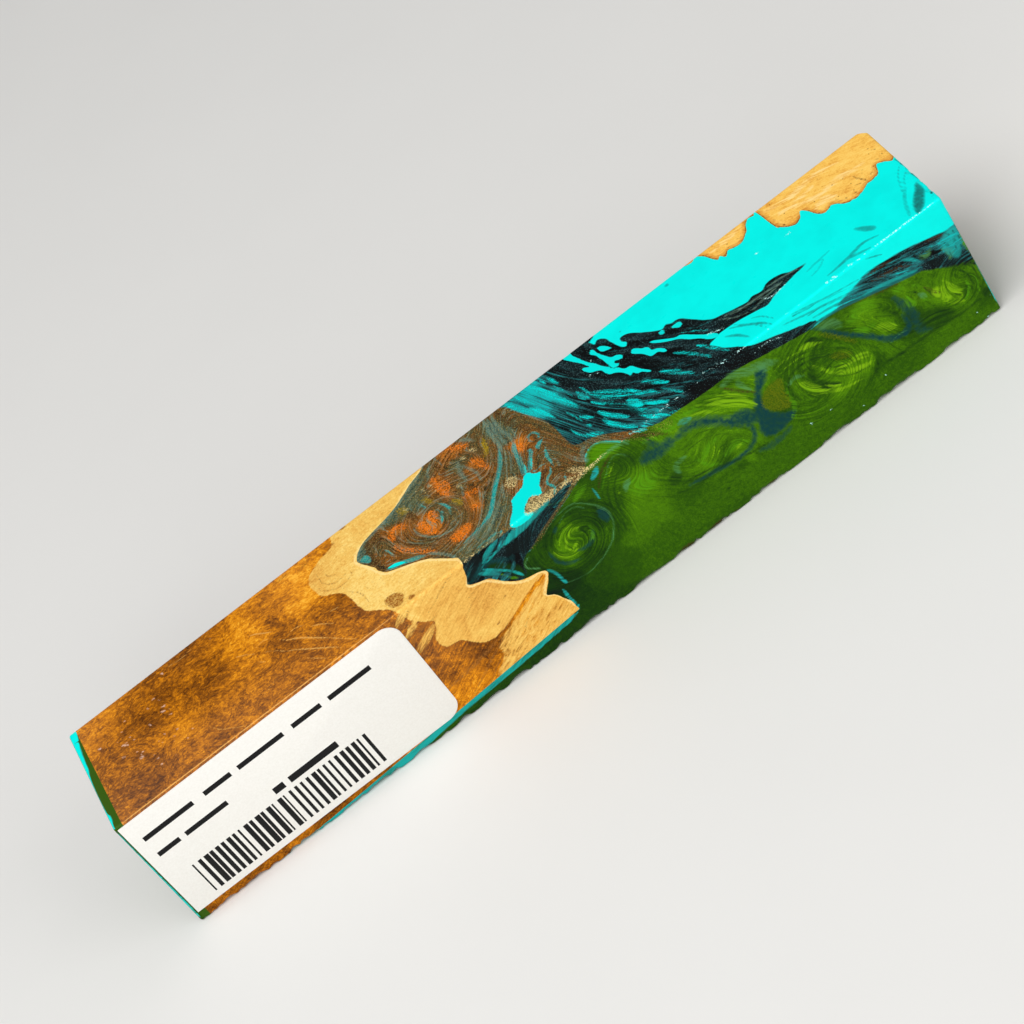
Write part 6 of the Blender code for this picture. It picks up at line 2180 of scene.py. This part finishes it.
@dataclass
class Blank:
    """The blank: casting, two pieces of burl and label, in the frame's place."""

    bar: SawnBar = field(default_factory=SawnBar)
    main_burl: MainBurl = field(default_factory=MainBurl)
    corner_burl: CornerBurl = field(default_factory=CornerBurl)
    end_fold: float = 0.6
    sharp_degrees: float = 35.0

    def __post_init__(self) -> None:
        """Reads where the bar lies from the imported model."""
        low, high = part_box("resin")
        self.middle_y = (low.y + high.y) / 2 / MM

    def face_of(self, p: np.ndarray) -> np.ndarray:
        """Which face of the bar each point lies nearest.

        Args:
            p: Points in mm about the middle of the bar's underside.

        Returns:
            Positions in the list of faces.
        """
        bar = self.bar
        ends = p[:, 0] - bar.end_skew(p)
        gaps = {
            Face.TOP: bar.side - p[:, 2],
            Face.FRONT: p[:, 1] + bar.half,
            Face.BACK: bar.half - p[:, 1],
            Face.UNDERSIDE: p[:, 2],
            Face.LEFT_END: ends + bar.length / 2,
            Face.RIGHT_END: bar.length / 2 - ends,
        }
        return np.stack([gaps[face] for face in Face]).argmin(0)

    def unrolled(self, p: np.ndarray) -> tuple[np.ndarray, np.ndarray]:
        """Unrolls points onto the sheet that the patterns are laid out on.

        The ends take the front face's pattern, folded over them.

        Args:
            p: Points in mm about the middle of the bar's underside.

        Returns:
            Places along and around the bar, mm.
        """
        side, half = self.bar.side, self.bar.half
        x, y, z = p.T
        fold = self.end_fold * (y + half)
        down_front = 2 * side - z
        sheet = {
            Face.TOP: (x, half - y),
            Face.FRONT: (x, down_front),
            Face.BACK: (x, z - side),
            Face.UNDERSIDE: (x, 2 * side + y + half),
            Face.LEFT_END: (x + fold, down_front),
            Face.RIGHT_END: (x - fold, down_front),
        }
        nearest = self.face_of(p)
        return tuple(np.choose(nearest, [sheet[face][i] for face in Face]) for i in (0, 1))

    def trimmed(self, name: str, *cuts: tuple[bpy.types.Object, Cut]) -> bpy.types.Object:
        """Cuts the sawn bar by other solids.

        Args:
            name: The piece's name.
            cuts: The solids, each with what it does to the bar.

        Returns:
            The piece as a plain mesh, still in mm.
        """
        base = self.bar.solid(name + "_stock")
        for cutter, cut in cuts:
            step = base.modifiers.new(cut.name, "BOOLEAN")
            step.operation = cut.value
            step.solver = "MANIFOLD"
            step.object = cutter
        graph = bpy.context.evaluated_depsgraph_get()
        mesh = bpy.data.meshes.new_from_object(base.evaluated_get(graph))
        mesh.name = name
        bpy.data.objects.remove(base)
        return linked(name, mesh)

    def dress(
        self,
        piece: bpy.types.Object,
        finish: bpy.types.Material,
        layers: Iterable[Layer],
        tones: Iterable[Tone],
        flow: Flow | None = None,
    ) -> None:
        """Lays the patterns on a piece, moves it to the frame and gives it its finish.

        Args:
            piece: The piece, in mm.
            finish: Its material.
            layers: The coverages that it carries.
            tones: The drifting values that it carries.
            flow: The stirring that it carries, if any.
        """
        mesh = piece.data
        co = np.zeros(len(mesh.vertices) * 3)
        mesh.vertices.foreach_get("co", co)
        co = co.reshape(-1, 3)
        x, v = self.unrolled(co)
        carried = {layer.name: layer.cover(x, v) for layer in layers}
        carried.update({tone.name: tone.read(x, v) for tone in tones})
        if flow:
            carried["along"], carried["across"] = flow.read(x, v)
        for name, values in carried.items():
            attribute = mesh.attributes.new(name, "FLOAT", "POINT")
            attribute.data.foreach_set("value", values.astype(np.float32))
        co[:, 1] += self.middle_y
        mesh.vertices.foreach_set("co", (co * MM).ravel())
        mesh.materials.clear()
        mesh.materials.append(finish)
        mesh.update()
        mesh.shade_smooth()
        mesh.set_sharp_from_angle(angle=math.radians(self.sharp_degrees))

    def build(self) -> dict[str, bpy.types.Object]:
        """Builds the casting and both pieces of burl.

        Returns:
            The pieces by the name of the solid that each stands for.
        """
        main_block = self.main_burl.block("main_block")
        corner_block = self.corner_burl.block("corner_block")
        hollows = [(block, Cut.TAKE_AWAY) for block in (main_block, corner_block)]
        pieces = {
            "resin": self.trimmed("casting", *hollows),
            "burl_main": self.trimmed("main_burl", (main_block, Cut.KEEP_INSIDE)),
            "burl_corner": self.trimmed("corner_burl", (corner_block, Cut.KEEP_INSIDE)),
        }
        for block in (main_block, corner_block):
            bpy.data.objects.remove(block)
        self.dress(pieces["resin"], ResinFinish().make(), RESIN_LAYERS, RESIN_TONES, FLOW)
        self.dress(pieces["burl_main"], MainBurlFinish().make(), MAIN_BURL_LAYERS, MAIN_BURL_TONES)
        self.dress(pieces["burl_corner"], CornerBurlFinish().make(), CORNER_LAYERS, ())
        return pieces


@dataclass(frozen=True)
class Label:
    """The paper label stuck on the front face, its two right corners rounded."""

    thickness: float = 0.13
    corner: float = 2.3
    corner_steps: int = 10
    edge_round: float = 0.03
    edge_steps: int = 2
    foot_lift: float = 0.4
    glue: float = 0.005
    sharp_degrees: float = 30.0

    def build(self, front_y: float) -> bpy.types.Object:
        """Makes the label where its solid lies, down on the front face.

        Args:
            front_y: The bar's front face, mm.

        Returns:
            The label.
        """
        low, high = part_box("label")
        low.z += self.foot_lift * MM
        size = np.array([high.x - low.x, self.thickness * MM, high.z - low.z]) / MM
        bm = bmesh.new()
        bmesh.ops.create_cube(bm, size=1.0)
        bmesh.ops.scale(bm, vec=size, verts=bm.verts)
        rights = [
            e for e in bm.edges
            if min(v.co.x for v in e.verts) > 0 and abs(e.verts[0].co.z - e.verts[1].co.z) < 1e-6
        ]
        self.round_off(bm, rights, self.corner, self.corner_steps)
        rim = [e for e in bm.edges if all(v.co.y < 0 for v in e.verts)]
        self.round_off(bm, rim, self.edge_round, self.edge_steps)
        middle_x, middle_z = (low.x + high.x) / 2 / MM, (low.z + high.z) / 2 / MM
        centre = (middle_x, front_y - self.thickness / 2 - self.glue, middle_z)
        bmesh.ops.translate(bm, vec=centre, verts=bm.verts)
        bmesh.ops.scale(bm, vec=(MM, MM, MM), verts=bm.verts)
        mesh = mesh_of("label_sheet", bm)
        mesh.materials.append(LabelFinish().make(low.x / MM, low.z / MM))
        mesh.shade_smooth()
        mesh.set_sharp_from_angle(angle=math.radians(self.sharp_degrees))
        return linked("label_sheet", mesh)

    def round_off(
        self, bm: bmesh.types.BMesh, edges: list[bmesh.types.BMEdge], radius: float, steps: int
    ) -> None:
        """Rounds edges by a radius in mm."""
        bmesh.ops.bevel(
            bm, geom=edges, offset=radius, segments=steps, profile=0.5, affect="EDGES"
        )


@dataclass(frozen=True)
class Lamp:
    """A square soft light that faces the blank: its place and side in metres, power in watts."""

    name: str
    place: Place
    side: float
    power: float

    def hang(self) -> None:
        """Adds the light to the scene."""
        light = bpy.data.lights.new(self.name, "AREA")
        light.shape = "SQUARE"
        light.size = self.side
        light.energy = self.power
        made = linked(self.name, light)
        made.location = self.place
        made.rotation_euler = (-made.location).to_track_quat("-Z", "Y").to_euler()


@dataclass(frozen=True)
class Studio:
    """Pale floor, soft lights and the camera."""

    floor_size: float = 3.0
    floor_colour: Colour = (226, 225, 222)
    floor_mottle: Noise = Noise(40.0)
    floor_shade: int = 3
    floor_roughness: float = 0.8
    lamps: tuple[Lamp, ...] = (
        Lamp("key", (-0.3, -0.25, 0.8), 0.7, 6.0),
        Lamp("fill", (0.5, -0.5, 0.5), 0.6, 1.8),
        Lamp("front", (-0.2, -0.75, 0.3), 0.5, 1.9),
    )
    sky: float = 0.27
    eye: Place = (-5.06, -292.4, 250.2)
    turn: Place = (44.6658, 27.8875, -26.0293)
    focal_pixels: float = 3000.0
    frame_pixels: float = 1024.0
    sensor: float = 36.0
    nearest: float = 0.01

    def floor(self) -> bpy.types.Object:
        """Makes the floor at height 0."""
        bm = bmesh.new()
        bmesh.ops.create_grid(bm, x_segments=2, y_segments=2, size=self.floor_size / 2)
        mesh = mesh_of("floor", bm)
        s = Sketch("floor")
        mottle = s.noise(s.place, self.floor_mottle)
        shade = tuple(level - self.floor_shade for level in self.floor_colour)
        colour = s.mix(mottle, self.floor_colour, shade)
        mesh.materials.append(s.finish(colour, self.floor_roughness))
        return linked("floor", mesh)

    def camera(self, middle_y: float) -> None:
        """Places the camera as the photograph's.

        Args:
            middle_y: The bar's middle, mm, which the eye's place is measured from.
        """
        lens = bpy.data.cameras.new("camera")
        lens.sensor_width = self.sensor
        lens.lens = self.focal_pixels / self.frame_pixels * self.sensor
        lens.clip_start = self.nearest
        made = linked("camera", lens)
        x, y, z = self.eye
        made.location = (x * MM, (y + middle_y) * MM, z * MM)
        made.rotation_euler = [math.radians(angle) for angle in self.turn]
        bpy.context.scene.camera = made

    def build(self, middle_y: float) -> None:
        """Sets the stage.

        Args:
            middle_y: The bar's middle, mm.
        """
        self.floor()
        for lamp in self.lamps:
            lamp.hang()
        world = bpy.data.worlds.new("studio")
        world.use_nodes = True
        sky = world.node_tree.nodes["Background"]
        sky.inputs["Color"].default_value = (1.0, 1.0, 1.0, 1.0)
        sky.inputs["Strength"].default_value = self.sky
        bpy.context.scene.world = world
        bpy.context.scene.view_settings.view_transform = "Standard"
        self.camera(middle_y)


def main() -> None:
    """Builds the blank and its studio, and hands each piece to the frame."""
    logging.basicConfig(level=logging.INFO, format="%(name)s: %(message)s")
    blank = Blank()
    pieces = blank.build()
    pieces["label"] = Label().build(blank.middle_y - blank.bar.half)
    for node, piece in pieces.items():
        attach(piece, "root")
        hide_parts(node)
        piece.data.calc_loop_triangles()
        log.info("%s stands for %s, %d triangles", piece.name, node, len(piece.data.loop_triangles))
    Studio().build(blank.middle_y)


if __name__ == "__main__":
    main()
